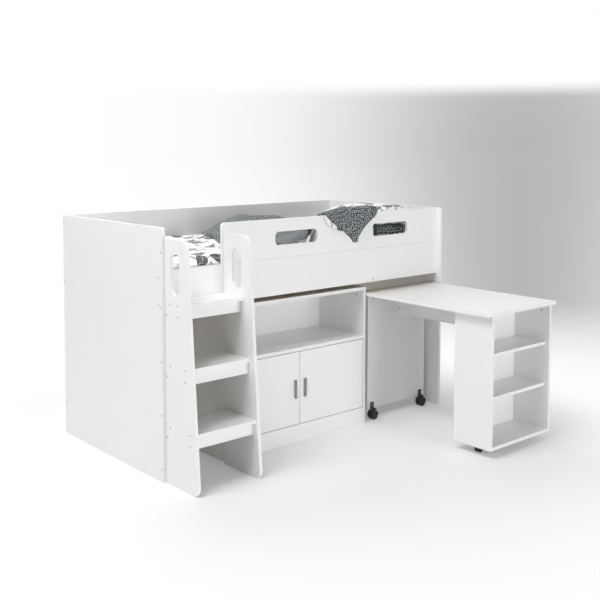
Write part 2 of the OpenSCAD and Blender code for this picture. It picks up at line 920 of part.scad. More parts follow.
// The swivelling part at the origin's swivel axis; it trails to -X, with its axle along Y
module castor_hood(r, wheel_t, mount_z, mount_t) {
    half = web_t / 2 + hood_gap + wheel_t;
    top_r = r + hood_gap + hood_t;
    color(black) difference() {
        union() {
            translate([-trail, 0, r]) rotate([90, 0, 0]) {
                translate([0, 0, -web_t / 2]) cylinder(r = r - 3, h = web_t);
                difference() {
                    translate([0, 0, -half]) cylinder(r = top_r, h = 2 * half);
                    translate([0, 0, -half - 1]) cylinder(r = r + hood_gap, h = 2 * half + 2);
                    translate([-top_r - 1, -top_r - 1, -half - 1]) cube([2 * top_r + 2, top_r + 1, 2 * half + 2]);
                }
                translate([-web_t / 2, r - 6, -web_t / 2]) cube([web_t, 7.5, web_t]);
            }
            translate([-trail - 2, -web_t / 2, 2 * r - 4]) cube([trail + 2 + pintle_r, web_t, top_r - r + 3.5]);
            cylinder_at_axis(2 * r - 4, mount_z - 0.3);
            translate([0, 0, mount_z - 0.4]) cylinder(r = pintle_r, h = mount_t + 0.1);
        }
        translate([-trail, 0, r]) rotate([90, 0, 0])
            translate([0, 0, -half]) cylinder(r = axle_r + run_fit, h = 2 * half);
        castor_round_room(r, wheel_t);
    }
}

// The neck between the hood and its mount
module cylinder_at_axis(low, high) {
    translate([0, 0, low]) cylinder(r = pintle_r + 2, h = high - low);
}

// The space that the two wheels turn in
module castor_round_room(r, wheel_t) {
    for (s = [-1, 1]) translate([-trail, s * (web_t / 2 + hood_gap / 2 + (wheel_t + hood_gap) / 2), r])
        rotate([90, 0, 0]) translate([0, 0, -(wheel_t + hood_gap) / 2])
            cylinder(r = r + hood_gap, h = wheel_t + hood_gap);
}

module castor_wheel_pair(r, wheel_t) {
    y_in = web_t / 2 + hood_gap;
    color(black) {
        for (s = [-1, 1]) translate([-trail, s * (y_in + wheel_t / 2), r]) rotate([90, 0, 0])
            rotate_extrude() polygon([
                [axle_r, -wheel_t / 2], [r - 2, -wheel_t / 2], [r - 0.5, -wheel_t / 2 + 1], [r, -1],
                [r, 1], [r - 0.5, wheel_t / 2 - 1], [r - 2, wheel_t / 2], [axle_r, wheel_t / 2]
            ]);
    }
    color(zinc) translate([-trail, 0, r]) rotate([90, 0, 0])
        translate([0, 0, -y_in - wheel_t + 1]) cylinder(r = axle_r, h = 2 * (y_in + wheel_t - 1));
}

module rear_hood(i) {
    translate(rear_castors[i]) castor_hood(rear_wheel_r, rear_wheel_t, rear_lug_z, lug_t);
}

module front_hood(i) {
    translate(front_castors[i]) castor_hood(front_wheel_r, front_wheel_t, front_lug_z, plate_t);
}

module rear_wheels(i) {
    translate(rear_castors[i]) castor_wheel_pair(rear_wheel_r, rear_wheel_t);
}

module front_wheels(i) {
    translate(front_castors[i]) castor_wheel_pair(front_wheel_r, front_wheel_t);
}

// ---------- bedding ----------

module mattress() {
    color(linen) translate([-mattress_l / 2, y_mid - mattress_w / 2, mattress_z]) linear_extrude(mattress_t)
        round_slot(mattress_l, mattress_w, mattress_r);
}

// A closed sheet of two grids of m rows and n points, one after the other. From row rows on, only the first
// cols points are used.
function sheet_cell(i, j, m, n, rows, cols) = i >= 0 && j >= 0 && i < m - 1 && j < n - 1
    && (i < rows - 1 || j < cols - 1);
function sheet_faces(m, n, rows, cols) = let (k = m * n) [
    for (i = [0:m - 2], j = [0:n - 2]) if (sheet_cell(i, j, m, n, rows, cols))
        let (a = i * n + j, b = a + 1, c = a + n, d = c + 1) each concat(
            [[a, b, c], [c, b, d], [k + a, k + c, k + b], [k + c, k + d, k + b]],
            sheet_cell(i, j - 1, m, n, rows, cols) ? [] : [[a, c, k + a], [c, k + c, k + a]],
            sheet_cell(i, j + 1, m, n, rows, cols) ? [] : [[b, k + b, d], [d, k + b, k + d]],
            sheet_cell(i - 1, j, m, n, rows, cols) ? [] : [[a, k + a, b], [b, k + a, k + b]],
            sheet_cell(i + 1, j, m, n, rows, cols) ? [] : [[c, d, k + c], [d, k + d, k + c]]
        )
];

// 1 in the middle of a cushion, falling to 0 at its edges
function crown(u, power) = pow(max(0, 1 - pow(abs(2 * u - 1), power)), 0.5);
function ramp(d) = let (u = min(1, max(0, d))) u * u * (3 - 2 * u);
function bump(d) = exp(-d * d);

// The duvet lies on the mattress, turns over at its head end and lies back on itself; the corner of the
// turned part passes over the guard's edge and hangs.
soft_low = mattress_top + soft_gap;
turn_out = 26;
turn_gap = 3;
hem_t = 8;
turned_more = 110;
corner_left = 424;
bunch_at = [-344, 120];
bunch_reach = [250, 330];
crest_left = [-760, 360];
crest_right = [60, 130];
crest_fade = 105;
crest_low = 24;
corner_reach = 226;
x_pillow = x_in_right - pillow_end - pillow_w / 2;
x_fold = x_pillow - pillow_w / 2 - 12 - turn_out;
x_foot = x_in_left + duvet_foot;
duvet_y = [y_rail_in + 6, y_back_in - 8];
across = [1, 0.955, 0.87, 0.73, 0.58, 0.43, 0.29, 0.17, 0.085, 0.03, 0];
bed_rows = len(across);
turned_cols = 17;
bend_cols = 3;
foot_cols = 7;
duvet_cols = 2 * turned_cols + bend_cols + foot_cols;

// The corner's rows, from the guard's edge down: share of its hang, left edge and right edge
corner_rows = [
    [0, -corner_left, 6], [0, -corner_left, 6], [0, -414, -2], [0.09, -394, -14], [0.3, -330, -62],
    [0.55, -262, -110], [0.82, -203, -144], [1, -178, -154]
];
duvet_rows = bed_rows + len(corner_rows);
corner_mid = -194;

function row_y(i) = duvet_y[0] + across[i] * (duvet_y[1] - duvet_y[0]);

// Left edge of the turned part, from the fold
function turned_left(i) = let (v = across[i])
    -(turned_l + turned_more * bump((v - 0.42) / 0.2))
        + (turned_l - corner_left + turned_more) * ramp(1 - v / 0.36);

// The lower layer's height over the mattress
function bed_bunch(x, y) = bunch_rise * bump((x - bunch_at[0]) / bunch_reach[0])
    * bump((y - y_mid - bunch_at[1]) / bunch_reach[1]);
function guard_bunch(x, y) =
    (bed_h - soft_low - crest_low + corner_rise * 0.7 * bump(1.5 * (x - corner_mid) / corner_reach))
    * ramp((x - crest_left[0]) / crest_left[1]) * ramp(1.25 - (x + crest_right[0]) / crest_right[1])
    * bump((y - duvet_y[0]) / crest_fade);
function quilt(x, y) = 3 * sin(x * 1.1 + 50 * sin(y * 0.5)) * cos(y * 0.9 - 30 * sin(x * 0.4));
function lower_t(x, y) = let (
    u = (x + x_fold - x_foot) / (2 * (x_fold - x_foot)), v = (y - duvet_y[0]) / (duvet_y[1] - duvet_y[0])
) 6 + (duvet_t - 9 + quilt(x, y)) * crown(u, 14) * crown(v, 10) + bed_bunch(x, y) + guard_bunch(x, y);

// The turned layer's thickness, thin at its hem and towards the corner
function turned_thick(x, left, y) = hem_t + (turned_t - hem_t) * ramp((x - left) / 90)
    * ramp((y - duvet_y[0] + 30) / 150);

// Bulge of the corner over the guard's edge
function corner_bulge(x) = 1 + corner_rise * max(0, 1 - pow(abs((x - corner_mid) / corner_reach), 3));

// Points of the sheet: [inner side, outer side]
function bed_point(i, j) = let (
    y = row_y(i), left = turned_left(i), u = j < turned_cols ? j / (turned_cols - 1) :
        (2 * turned_cols + bend_cols - 1 - j) / (turned_cols - 1)
) j < turned_cols ? let (x = left * (1 - u), low = soft_low + lower_t(x, y) + turn_gap)
        [[x_fold + x, y, low], [x_fold + x, y, low + turned_thick(x, left, y)]] :
    j < turned_cols + bend_cols ? let (
        a = 50 * (turned_cols + 1 - j), inner = soft_low + lower_t(0, y) + turn_gap / 2,
        top = inner + turn_gap / 2 + turned_thick(0, left, y), half = (top - soft_low) / 2
    ) [[x_fold + cos(a) * turn_gap / 2, y, inner + sin(a) * turn_gap / 2],
        [x_fold + cos(a) * turn_out, y, soft_low + half + sin(a) * half]] :
    j < 2 * turned_cols + bend_cols ? let (x = left * (1 - u))
        [[x_fold + x, y, soft_low + lower_t(x, y)], [x_fold + x, y, soft_low]] :
    let (f = (j - 2 * turned_cols - bend_cols + 1) / foot_cols, x = left + (x_foot - x_fold - left) * f)
        [[x_fold + x, y, soft_low + lower_t(x, y)], [x_fold + x, y, soft_low]];

function corner_point(i, j) = let (
    r = corner_rows[i], u = min(1, j / (turned_cols - 1)), x = r[1] + (r[2] - r[1]) * u,
    c = corner_bulge(x), wave = 1.5 * (1 - cos(u * 720)) * min(1, r[0] * 6),
    face = y_rail - soft_gap - 0.1 - wave - 5 * c / corner_rise * (1 - r[0])
) i == 0 ? [[x_fold + x, y_rail_in + soft_gap, bed_h + soft_gap + 0.6 * c],
        [x_fold + x, y_rail_in + soft_gap + 0.8 * corner_t, bed_h + soft_gap + 0.6 * (c + corner_t)]] :
    i == 1 ? [[x_fold + x, y_rail + board_t / 2, bed_h + soft_gap + c],
        [x_fold + x, y_rail + board_t / 2, bed_h + soft_gap + c + corner_t]] :
    i == 2 ? [[x_fold + x, face, bed_h + soft_gap + 0.8 * c],
        [x_fold + x, face - 0.75 * corner_t, bed_h + soft_gap + 0.8 * c + 0.66 * corner_t]] :
    [[x_fold + x, face, bed_h - corner_hang * r[0]], [x_fold + x, face - corner_t, bed_h - corner_hang * r[0]]];

module duvet() {
    pts = [for (i = [0:duvet_rows - 1], j = [0:duvet_cols - 1])
        i < bed_rows ? bed_point(i, j) : corner_point(i - bed_rows, j)];
    color(linen) polyhedron(concat([for (p = pts) p[1]], [for (p = pts) p[0]]),
        sheet_faces(duvet_rows, duvet_cols, bed_rows, turned_cols));
}

pillow_m = 15;
pillow_n = 21;

// Sides drawn in between the corners
function drawn(u) = 1 - 0.05 * (1 - pow(2 * u - 1, 2));

// A pillow of length l with its middle at the origin, flattened underneath
module pillow(l) {
    grid = [for (i = [0:pillow_m - 1], j = [0:pillow_n - 1]) [i / (pillow_m - 1), j / (pillow_n - 1)]];
    flat = [for (g = grid) [(g[0] - 0.5) * pillow_w * drawn(g[1]), (g[1] - 0.5) * l * drawn(g[0]), 0]];
    rise = [for (g = grid) 2 + (pillow_t / 2 - 2) * crown(g[0], 2.4) * crown(g[1], 3.2)];
    top = [for (k = [0:len(grid) - 1]) flat[k] + [0, 0, rise[k]]];
    low = [for (k = [0:len(grid) - 1]) flat[k] - [0, 0, min(rise[k], pillow_t / 2 - pillow_press)]];
    color(linen) polyhedron(concat(top, low), sheet_faces(pillow_m, pillow_n, pillow_m, pillow_n));
}

y_pillow = y_rail_in + pillow_side;
pillow_lift = pillow_t / 2 - pillow_press;

module pillow_lower() {
    translate([x_pillow, y_pillow + pillow_l / 2, soft_low + pillow_lift]) pillow(pillow_l);
}

module pillow_upper() {
    translate([x_pillow, y_pillow + pillow_upper_l / 2, soft_low + 2 * pillow_lift + pillow_t / 2 + soft_gap])
        pillow(pillow_upper_l);
}

// ---------- the nodes ----------

end_panel_left();
end_panel_right();
front_rail();
guard_panel();
back_panel();
back_lower_rail();
slat_battens();
cross_tie();
slats();
frame_screws();
guard_dowels();
ladder_board_left();
ladder_board_right();
tread(0);  // tread_bottom
tread(1);  // tread_middle
tread(2);  // tread_top
under_tread(0, y_apron(0));  // apron_bottom
under_tread(1, y_apron(1));  // apron_middle
under_tread(2, y_apron(2));  // apron_top
step_back_rails();
cupboard_side_left();
cupboard_side_right();
cupboard_top();
niche_shelf();
cupboard_bottom();
plinth();
cupboard_back();
door_left();
door_right();
handle_left();
handle_right();
hinge_cups_left();
hinge_cups_right();
hinge_arms();
cupboard_cams();
desktop();
desk_rear_panel();
desk_stretcher();
bookcase_side_left();
bookcase_side_right();
bookcase_back();
bookcase_shelf(0);  // bookcase_shelf_lower
bookcase_shelf(1);  // bookcase_shelf_upper
bookcase_bottom();
desk_cams();
castor_mounts();
castor_screws();
rear_hood(0);  // castor_hood_rear_left
rear_hood(1);  // castor_hood_rear_right
front_hood(0);  // castor_hood_front_left
front_hood(1);  // castor_hood_front_right
rear_wheels(0);  // castor_wheels_rear_left
rear_wheels(1);  // castor_wheels_rear_right
front_wheels(0);  // castor_wheels_front_left
front_wheels(1);  // castor_wheels_front_right
mattress();
duvet();
pillow_lower();
pillow_upper();
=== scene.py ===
import bpy
import math
import numpy as np
from mathutils import Euler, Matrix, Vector


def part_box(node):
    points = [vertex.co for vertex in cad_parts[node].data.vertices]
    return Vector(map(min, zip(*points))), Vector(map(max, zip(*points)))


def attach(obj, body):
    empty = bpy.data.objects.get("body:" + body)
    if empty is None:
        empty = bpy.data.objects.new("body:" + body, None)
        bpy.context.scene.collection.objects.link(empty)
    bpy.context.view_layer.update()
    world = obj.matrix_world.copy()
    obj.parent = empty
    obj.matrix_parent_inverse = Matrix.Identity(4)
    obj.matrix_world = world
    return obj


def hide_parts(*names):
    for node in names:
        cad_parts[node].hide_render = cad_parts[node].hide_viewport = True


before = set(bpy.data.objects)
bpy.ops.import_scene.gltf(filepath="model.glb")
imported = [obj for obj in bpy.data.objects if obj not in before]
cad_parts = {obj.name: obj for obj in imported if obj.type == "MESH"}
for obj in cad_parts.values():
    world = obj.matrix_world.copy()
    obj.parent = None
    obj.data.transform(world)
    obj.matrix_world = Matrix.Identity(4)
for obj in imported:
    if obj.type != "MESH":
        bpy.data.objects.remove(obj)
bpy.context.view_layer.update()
bpy.context.scene.view_settings.view_transform = "Standard"
print("frame loaded:", len(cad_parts), "nodes")


def hexColour(text):
    # sRGB hex to linear light
    part = [int(text[i:i + 2], 16) / 255 for i in (1, 3, 5)]
    return tuple(c / 12.92 if c <= 0.04045 else ((c + 0.055) / 1.055) ** 2.4 for c in part) + (1.0,)


# the camera stands where the photograph was taken from
view = {"place": (-3.2419, -3.5424, 1.5828), "yaw": 39.744, "pitch": 3.845, "lens": 54.199,
        "shiftX": 0.0556, "shiftY": -0.1629}
cameraData = bpy.data.cameras.new("camera")
cameraData.lens, cameraData.sensor_width = view["lens"], 36
cameraData.shift_x, cameraData.shift_y = view["shiftX"], view["shiftY"]
cameraData.clip_end = 60
camera = bpy.data.objects.new("camera", cameraData)
camera.location = view["place"]
camera.rotation_euler = Euler((math.radians(90 - view["pitch"]), 0, math.radians(-view["yaw"])), "XYZ")
bpy.context.scene.collection.objects.link(camera)
bpy.context.scene.camera = camera


def addNode(tree, kind, inputs=None, out=0, **settings):
    # one shader node with its settings; an input is a value or another node's output
    node = tree.nodes.new("ShaderNode" + kind)
    for key, value in settings.items():
        setattr(node, key, value)
    for key, value in (inputs or {}).items():
        if isinstance(value, bpy.types.NodeSocket):
            tree.links.new(value, node.inputs[key])
        else:
            node.inputs[key].default_value = value
    return node if out is None else node.outputs[out]


def calculate(tree, operation, *values):
    return addNode(tree, "Math", dict(enumerate(values)), operation=operation)


def noise(tree, place, scale, detail):
    return addNode(tree, "TexNoise", {"Vector": place, "Scale": scale, "Detail": detail})


def mixColours(tree, share, one, other):
    # one where share is 0, other where it is 1; a colour is sRGB hex or a node's output
    one, other = (hexColour(colour) if isinstance(colour, str) else colour for colour in (one, other))
    return addNode(tree, "Mix", {0: share, 6: one, 7: other}, 2, data_type="RGBA")


def stepSmoothly(tree, value, span, first=0.0, last=1.0):
    # first below the span, last above it, a smooth step between
    return addNode(tree, "MapRange", {"Value": value, 1: span[0], 2: span[1], 3: first, 4: last},
                   interpolation_type="SMOOTHSTEP")


def newMaterial(name, roughness, **fixed):
    material = bpy.data.materials.new(name)
    material.use_nodes = True
    tree = material.node_tree
    tree.nodes.clear()
    shader = addNode(tree, "BsdfPrincipled", {"Roughness": roughness}, None)
    addNode(tree, "OutputMaterial", {"Surface": shader.outputs[0]}, None)
    for key, value in fixed.items():
        shader.inputs[key.replace("_", " ")].default_value = value
    return material, tree, shader


def wire(tree, shader, tone, bump, gloss=None):
    for key, socket in (("Base Color", tone), ("Normal", bump), ("Roughness", gloss)):
        if socket is not None:
            tree.links.new(socket, shader.inputs[key])


boardLook = {"colour": "#F0F0EF", "shade": "#ECECEB", "press": 0.003, "rough": (0.36, 0.46), "edge": 0.0011}


def foiledBoard():
    # particle board in a satin white foil: even white, a faint pressed texture, a soft gloss, edges 1 mm round
    material, tree, shader = newMaterial("foiled_board", 0.42, IOR=1.48)
    place = addNode(tree, "TexCoord", out="Object")
    tone = mixColours(tree, noise(tree, place, 3.0, 3.0), boardLook["colour"], boardLook["shade"])
    press = noise(tree, place, 1 / boardLook["press"], 2.0)
    softEdge = addNode(tree, "Bevel", {"Radius": boardLook["edge"]}, samples=4)
    bump = addNode(tree, "Bump", {"Strength": 0.04, "Distance": 0.0004, "Height": press, "Normal": softEdge})
    gloss = addNode(tree, "MapRange", {"Value": press, 3: boardLook["rough"][0], 4: boardLook["rough"][1]})
    wire(tree, shader, tone, bump, gloss)
    return material


fibreLook = {"pale": "#A98A66", "dark": "#7F6243", "fibres": 900.0}


def hardboard():
    # thin fibre board, white on its face and bare brown behind, with felted fibres about 1 mm long
    material, tree, shader = newMaterial("hardboard", 0.6)
    place = addNode(tree, "TexCoord", out="Object")
    fibre = noise(tree, place, fibreLook["fibres"], 4.0)
    brown = mixColours(tree, fibre, fibreLook["pale"], fibreLook["dark"])
    way = addNode(tree, "SeparateXYZ", {0: addNode(tree, "NewGeometry", out="Normal")}, 1)
    behind = calculate(tree, "GREATER_THAN", way, 0.5)
    tone = mixColours(tree, behind, boardLook["colour"], brown)
    bump = addNode(tree, "Bump", {"Strength": 0.15, "Distance": 0.0003, "Height": fibre})
    wire(tree, shader, tone, bump)
    return material


# knotEdge is where a knot begins to fade and where it ends, from its middle, as a share of knotEvery
pineLook = {"early": "#E0C394", "late": "#C99F67", "pale": "#E9D4AC", "pore": "#A97E4C", "knot": "#7A5230",
            "ring": 0.006, "drawn": 0.06, "pores": 420.0, "paleShare": 0.5, "poreShare": 0.25,
            "knotEvery": 0.4, "knotEdge": (0.02, 0.05), "edge": 0.0015}


def planedPine(name, along):
    # planed pine, unvarnished: growth rings 6 mm apart drawn out along the piece, fine pores, a knot now and then
    material, tree, shader = newMaterial(name, 0.58)
    place = addNode(tree, "TexCoord", out="Object")
    stretch = tuple(pineLook["drawn"] if axis == along else 1.0 for axis in "XYZ")
    drawn = addNode(tree, "Mapping", {"Vector": place, "Scale": stretch})
    warp = noise(tree, drawn, 9.0, 3.0)
    ring = addNode(tree, "TexWave", {"Vector": drawn, "Scale": 0.2 / pineLook["ring"], "Distortion": 7.0,
                                     "Detail": 2.0, "Detail Scale": 1.4}, 1, bands_direction="DIAGONAL")
    pore = noise(tree, drawn, pineLook["pores"], 2.0)
    tone = mixColours(tree, ring, pineLook["early"], pineLook["late"])
    for share, source, shade in (("paleShare", warp, "pale"), ("poreShare", pore, "pore")):
        tone = mixColours(tree, calculate(tree, "MULTIPLY", source, pineLook[share]), tone, pineLook[shade])
    spread = addNode(tree, "TexVoronoi", {"Vector": place, "Scale": 1 / pineLook["knotEvery"]}, "Distance")
    inner, outer = pineLook["knotEdge"]
    knot = addNode(tree, "MapRange", {"Value": spread, 1: inner, 2: outer, 3: 1.0, 4: 0.0})
    tone = mixColours(tree, knot, tone, pineLook["knot"])
    softEdge = addNode(tree, "Bevel", {"Radius": pineLook["edge"]}, samples=4)
    bump = addNode(tree, "Bump", {"Strength": 0.2, "Distance": 0.0003, "Height": pore, "Normal": softEdge})
    wire(tree, shader, tone, bump)
    return material


def finishedPart(name, colour, roughness, grain, strength, metallic=0.0):
    # a small hard part; grain is the size in metres of the marks that its finish leaves
    material, tree, shader = newMaterial(name, roughness, Metallic=metallic)
    place = addNode(tree, "TexCoord", out="Object")
    mark = noise(tree, place, 1 / grain, 3.0)
    lift = 0 if metallic else 0.006
    shade = tuple(part * 0.8 + lift for part in hexColour(colour)[:3]) + (1.0,)
    softEdge = addNode(tree, "Bevel", {"Radius": 0.0005}, samples=4)
    bump = addNode(tree, "Bump", {"Strength": strength, "Distance": 0.0001, "Height": mark, "Normal": softEdge})
    wire(tree, shader, mixColours(tree, mark, colour, shade), bump)
    return material


def weave(tree, place, thread, strength):
    # plain weave as a bump: two sets of ridges cross every `thread` metres, a few times coarser than the real
    # thread so that it shows, with slubs of a few centimetres over it
    ridges = [addNode(tree, "TexWave", {"Vector": place, "Scale": 0.31 / thread, "Distortion": 0.4}, 1,
                      bands_direction=way) for way in "XY"]
    slub = noise(tree, place, 60.0, 4.0)
    height = calculate(tree, "MULTIPLY_ADD", slub, 2.0, calculate(tree, "MULTIPLY", *ridges))
    return addNode(tree, "Bump", {"Strength": strength, "Distance": 0.0006, "Height": height})


def scatter(tree, place, cell, jitter):
    # a jittered grid of cells: the place inside the nearest one, turned at random, and its three random numbers
    scaled = addNode(tree, "VectorMath", {0: place, 3: 1 / cell}, operation="SCALE")
    cells = addNode(tree, "TexVoronoi", {"Vector": scaled, "Scale": 1.0, "Randomness": jitter}, None,
                    voronoi_dimensions="2D")
    local = addNode(tree, "VectorMath", {0: scaled, 1: cells.outputs["Position"]}, operation="SUBTRACT")
    draw = addNode(tree, "SeparateColor", {0: cells.outputs["Color"]}, None)
    angle = calculate(tree, "MULTIPLY", draw.outputs[0], 6.283)
    turned = addNode(tree, "VectorRotate", {0: local, "Angle": angle}, rotation_type="Z_AXIS")
    return addNode(tree, "SeparateXYZ", {0: turned}, None), draw


# per layer: cell in metres, then in cells the leaf's half length (reach) and half width, the share of cells with a
# leaf, the first tint, how much of the vein pitch is cut out and how pale the cut is
printLook = {"ground": "#F3F3F0", "tints": ["#3C403E", "#717A72", "#475C61", "#DCC8C1", "#8B938B"],
             "tintFrom": (0.25, 0.45, 0.65, 0.85), "jitter": 0.75, "bend": 0.25, "lean": 0.35, "veins": 0.17,
             "spine": 0.01,
             "layers": ({"cell": 0.066, "reach": 0.46, "width": 0.18, "share": 0.95, "first": 2, "cut": 0.34,
                         "pale": 1.0},
                        {"cell": 0.110, "reach": 0.47, "width": 0.25, "share": 1.0, "first": 0, "cut": 0.1,
                         "pale": 0.7})}
clothLook = {"thread": 0.0012, "relief": 0.25, "rough": 0.88}


def leafTint(tree, draw, first):
    # one of the five tints, picked by a cell's random number
    ramp = addNode(tree, "ValToRGB", {0: draw}, None)
    ramp.color_ramp.interpolation = "CONSTANT"
    ramp.color_ramp.elements[1].position = printLook["tintFrom"][0]
    for start in printLook["tintFrom"][1:]:
        ramp.color_ramp.elements.new(start)
    for element, tint in zip(ramp.color_ramp.elements, printLook["tints"][first:] + printLook["tints"][:first]):
        element.color = hexColour(tint)
    return ramp.outputs[0]


def printedCotton():
    # white cotton percale, printed with leaves in charcoal, grey green, teal and a little pale pink; matt
    material, tree, shader = newMaterial("printed_cotton", clothLook["rough"], Sheen_Weight=0.06, Sheen_Roughness=0.6,
                                         Specular_IOR_Level=0.25)
    place = addNode(tree, "UVMap", uv_map="cloth")
    tone = printLook["ground"]
    for layer in printLook["layers"]:
        # a leaf's half width is (1 - x^2)(1 - 0.35 x) of its widest, about a bent middle line with veins
        flat, draw = scatter(tree, place, layer["cell"], printLook["jitter"])
        x = calculate(tree, "DIVIDE", flat.outputs[0], layer["reach"])
        square = calculate(tree, "MULTIPLY", x, x)
        middle = calculate(tree, "MULTIPLY_ADD", square, -layer["reach"] * printLook["bend"], flat.outputs[1])
        y = calculate(tree, "ABSOLUTE", middle)
        taper = calculate(tree, "SUBTRACT", 1.0, square)
        lean = calculate(tree, "MULTIPLY_ADD", x, -printLook["lean"] * layer["width"], layer["width"])
        inside = calculate(tree, "GREATER_THAN", calculate(tree, "MULTIPLY", taper, lean), y)
        wanted = calculate(tree, "LESS_THAN", draw.outputs[2], layer["share"])
        slant = calculate(tree, "SUBTRACT", flat.outputs[0], y)
        pitch = layer["reach"] * printLook["veins"]
        vein = calculate(tree, "LESS_THAN", calculate(tree, "PINGPONG", slant, pitch), pitch * layer["cut"])
        lines = calculate(tree, "MAXIMUM", vein, calculate(tree, "LESS_THAN", y, printLook["spine"]))
        leaf = mixColours(tree, calculate(tree, "MULTIPLY", lines, layer["pale"]),
                          leafTint(tree, draw.outputs[1], layer["first"]), printLook["ground"])
        tone = mixColours(tree, calculate(tree, "MULTIPLY", inside, wanted), tone, leaf)
    wire(tree, shader, tone, weave(tree, place, clothLook["thread"], clothLook["relief"]))
    return material


# long and wide are half of a stroke's size, in cells
dotLook = {"ground": "#2F3A42", "shade": "#232D35", "dot": "#DCE1DE", "cell": 0.0100, "long": 0.25, "wide": 0.20,
           "jitter": 0.5}


def dottedCotton():
    # slate blue cotton percale with small pale strokes about 10 mm apart, turned at random; matt
    material, tree, shader = newMaterial("dotted_cotton", clothLook["rough"], Sheen_Weight=0.04, Sheen_Roughness=0.6,
                                         Specular_IOR_Level=0.2)
    place = addNode(tree, "UVMap", uv_map="cloth")
    flat, draw = scatter(tree, place, dotLook["cell"], dotLook["jitter"])
    inside = [calculate(tree, "LESS_THAN", calculate(tree, "ABSOLUTE", flat.outputs[axis]), dotLook[reach])
              for axis, reach in enumerate(("long", "wide"))]
    ground = mixColours(tree, noise(tree, place, 14.0, 3.0), dotLook["ground"], dotLook["shade"])
    tone = mixColours(tree, calculate(tree, "MULTIPLY", *inside), ground, dotLook["dot"])
    wire(tree, shader, tone, weave(tree, place, clothLook["thread"], clothLook["relief"]))
    return material


def knittedCover():
    # the mattress's knitted polyester cover: off white, ribs 2.5 mm apart, a soft sheen
    material, tree, shader = newMaterial("knitted_cover", 0.9, Sheen_Weight=0.3, Sheen_Roughness=0.5)
    place = addNode(tree, "UVMap", uv_map="cloth")
    tone = mixColours(tree, noise(tree, place, 20.0, 3.0), "#F0F0EB", "#E3E3DD")
    wire(tree, shader, tone, weave(tree, place, 0.0025, 0.4))
    return material


board = foiledBoard()
backing = hardboard()
slatPine, battenPine = planedPine("planed_pine_across", "Y"), planedPine("planed_pine_along", "X")
zincPlate = finishedPart("zinc_plated_steel", "#B6B8BA", 0.36, 0.0012, 0.2, 1.0)
handleMetal = finishedPart("anodised_aluminium", "#A2A3A5", 0.38, 0.0006, 0.15, 1.0)  # satin grey
blackSteel = finishedPart("black_enamelled_steel", "#0E0E0E", 0.4, 0.0008, 0.2)
hoodNylon = finishedPart("black_moulded_nylon", "#0C0C0C", 0.42, 0.0006, 0.3)  # spark-eroded grain
tyre = finishedPart("black_polyurethane", "#111112", 0.55, 0.0007, 0.3)
cotton, dotted, knitted = printedCotton(), dottedCotton(), knittedCover()

# by the start of a node's name; all other nodes are boards
looks = {"frame_screws": zincPlate, "cupboard_cams": zincPlate, "desk_cams": zincPlate, "castor_screws": zincPlate,
         "hinge_cups": zincPlate, "hinge_arms": zincPlate, "handle": handleMetal, "castor_mounts": blackSteel,
         "castor_hood": hoodNylon, "castor_wheels": tyre, "slats": slatPine, "cross_tie": slatPine,
         "guard_dowels": slatPine, "slat_battens": battenPine, "cupboard_back": backing}
for name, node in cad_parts.items():
    material = next((m for start, m in looks.items() if name.startswith(start)), board)
    for slot in node.material_slots:
        slot.material = material
print("materials made and given to the boards and fittings")


def gridQuads(rows, cols, first=0, flip=False):
    # quads between neighbouring points of a grid of rows by cols, numbered from first
    a = first + (np.arange(rows - 1)[:, None] * cols + np.arange(cols - 1)[None, :]).ravel()
    quads = np.stack([a, a + 1, a + cols + 1, a + cols], -1)
    return quads[:, ::-1] if flip else quads


def stripQuads(one, other, flip=False):
    # quads between two rows of point numbers
    quads = np.stack([one[:-1], one[1:], other[1:], other[:-1]], -1)
    return quads[:, ::-1] if flip else quads


def makePiece(name, points, faces, materials, body, replaced, uv, faceMaterial=None):
    # points in metres; uv is the cloth's own place in metres, one for each point
    mesh = bpy.data.meshes.new(name)
    mesh.from_pydata(points.tolist(), [], faces.tolist())
    for material in materials:
        mesh.materials.append(material)
    corner = np.empty(len(mesh.loops), np.int32)
    mesh.loops.foreach_get("vertex_index", corner)
    mesh.uv_layers.new(name="cloth").data.foreach_set("uv", uv[corner].ravel())
    if faceMaterial is not None:
        mesh.polygons.foreach_set("material_index", faceMaterial.astype(np.int32))
    mesh.polygons.foreach_set("use_smooth", np.ones(len(mesh.polygons), bool))
    mesh.update()
    piece = bpy.data.objects.new(name, mesh)
    bpy.context.scene.collection.objects.link(piece)
    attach(piece, body)
    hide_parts(*replaced)
    return piece


def readPoints(mesh):
    flat = np.empty(len(mesh.vertices) * 3)
    mesh.vertices.foreach_get("co", flat)
    return flat.reshape(-1, 3)


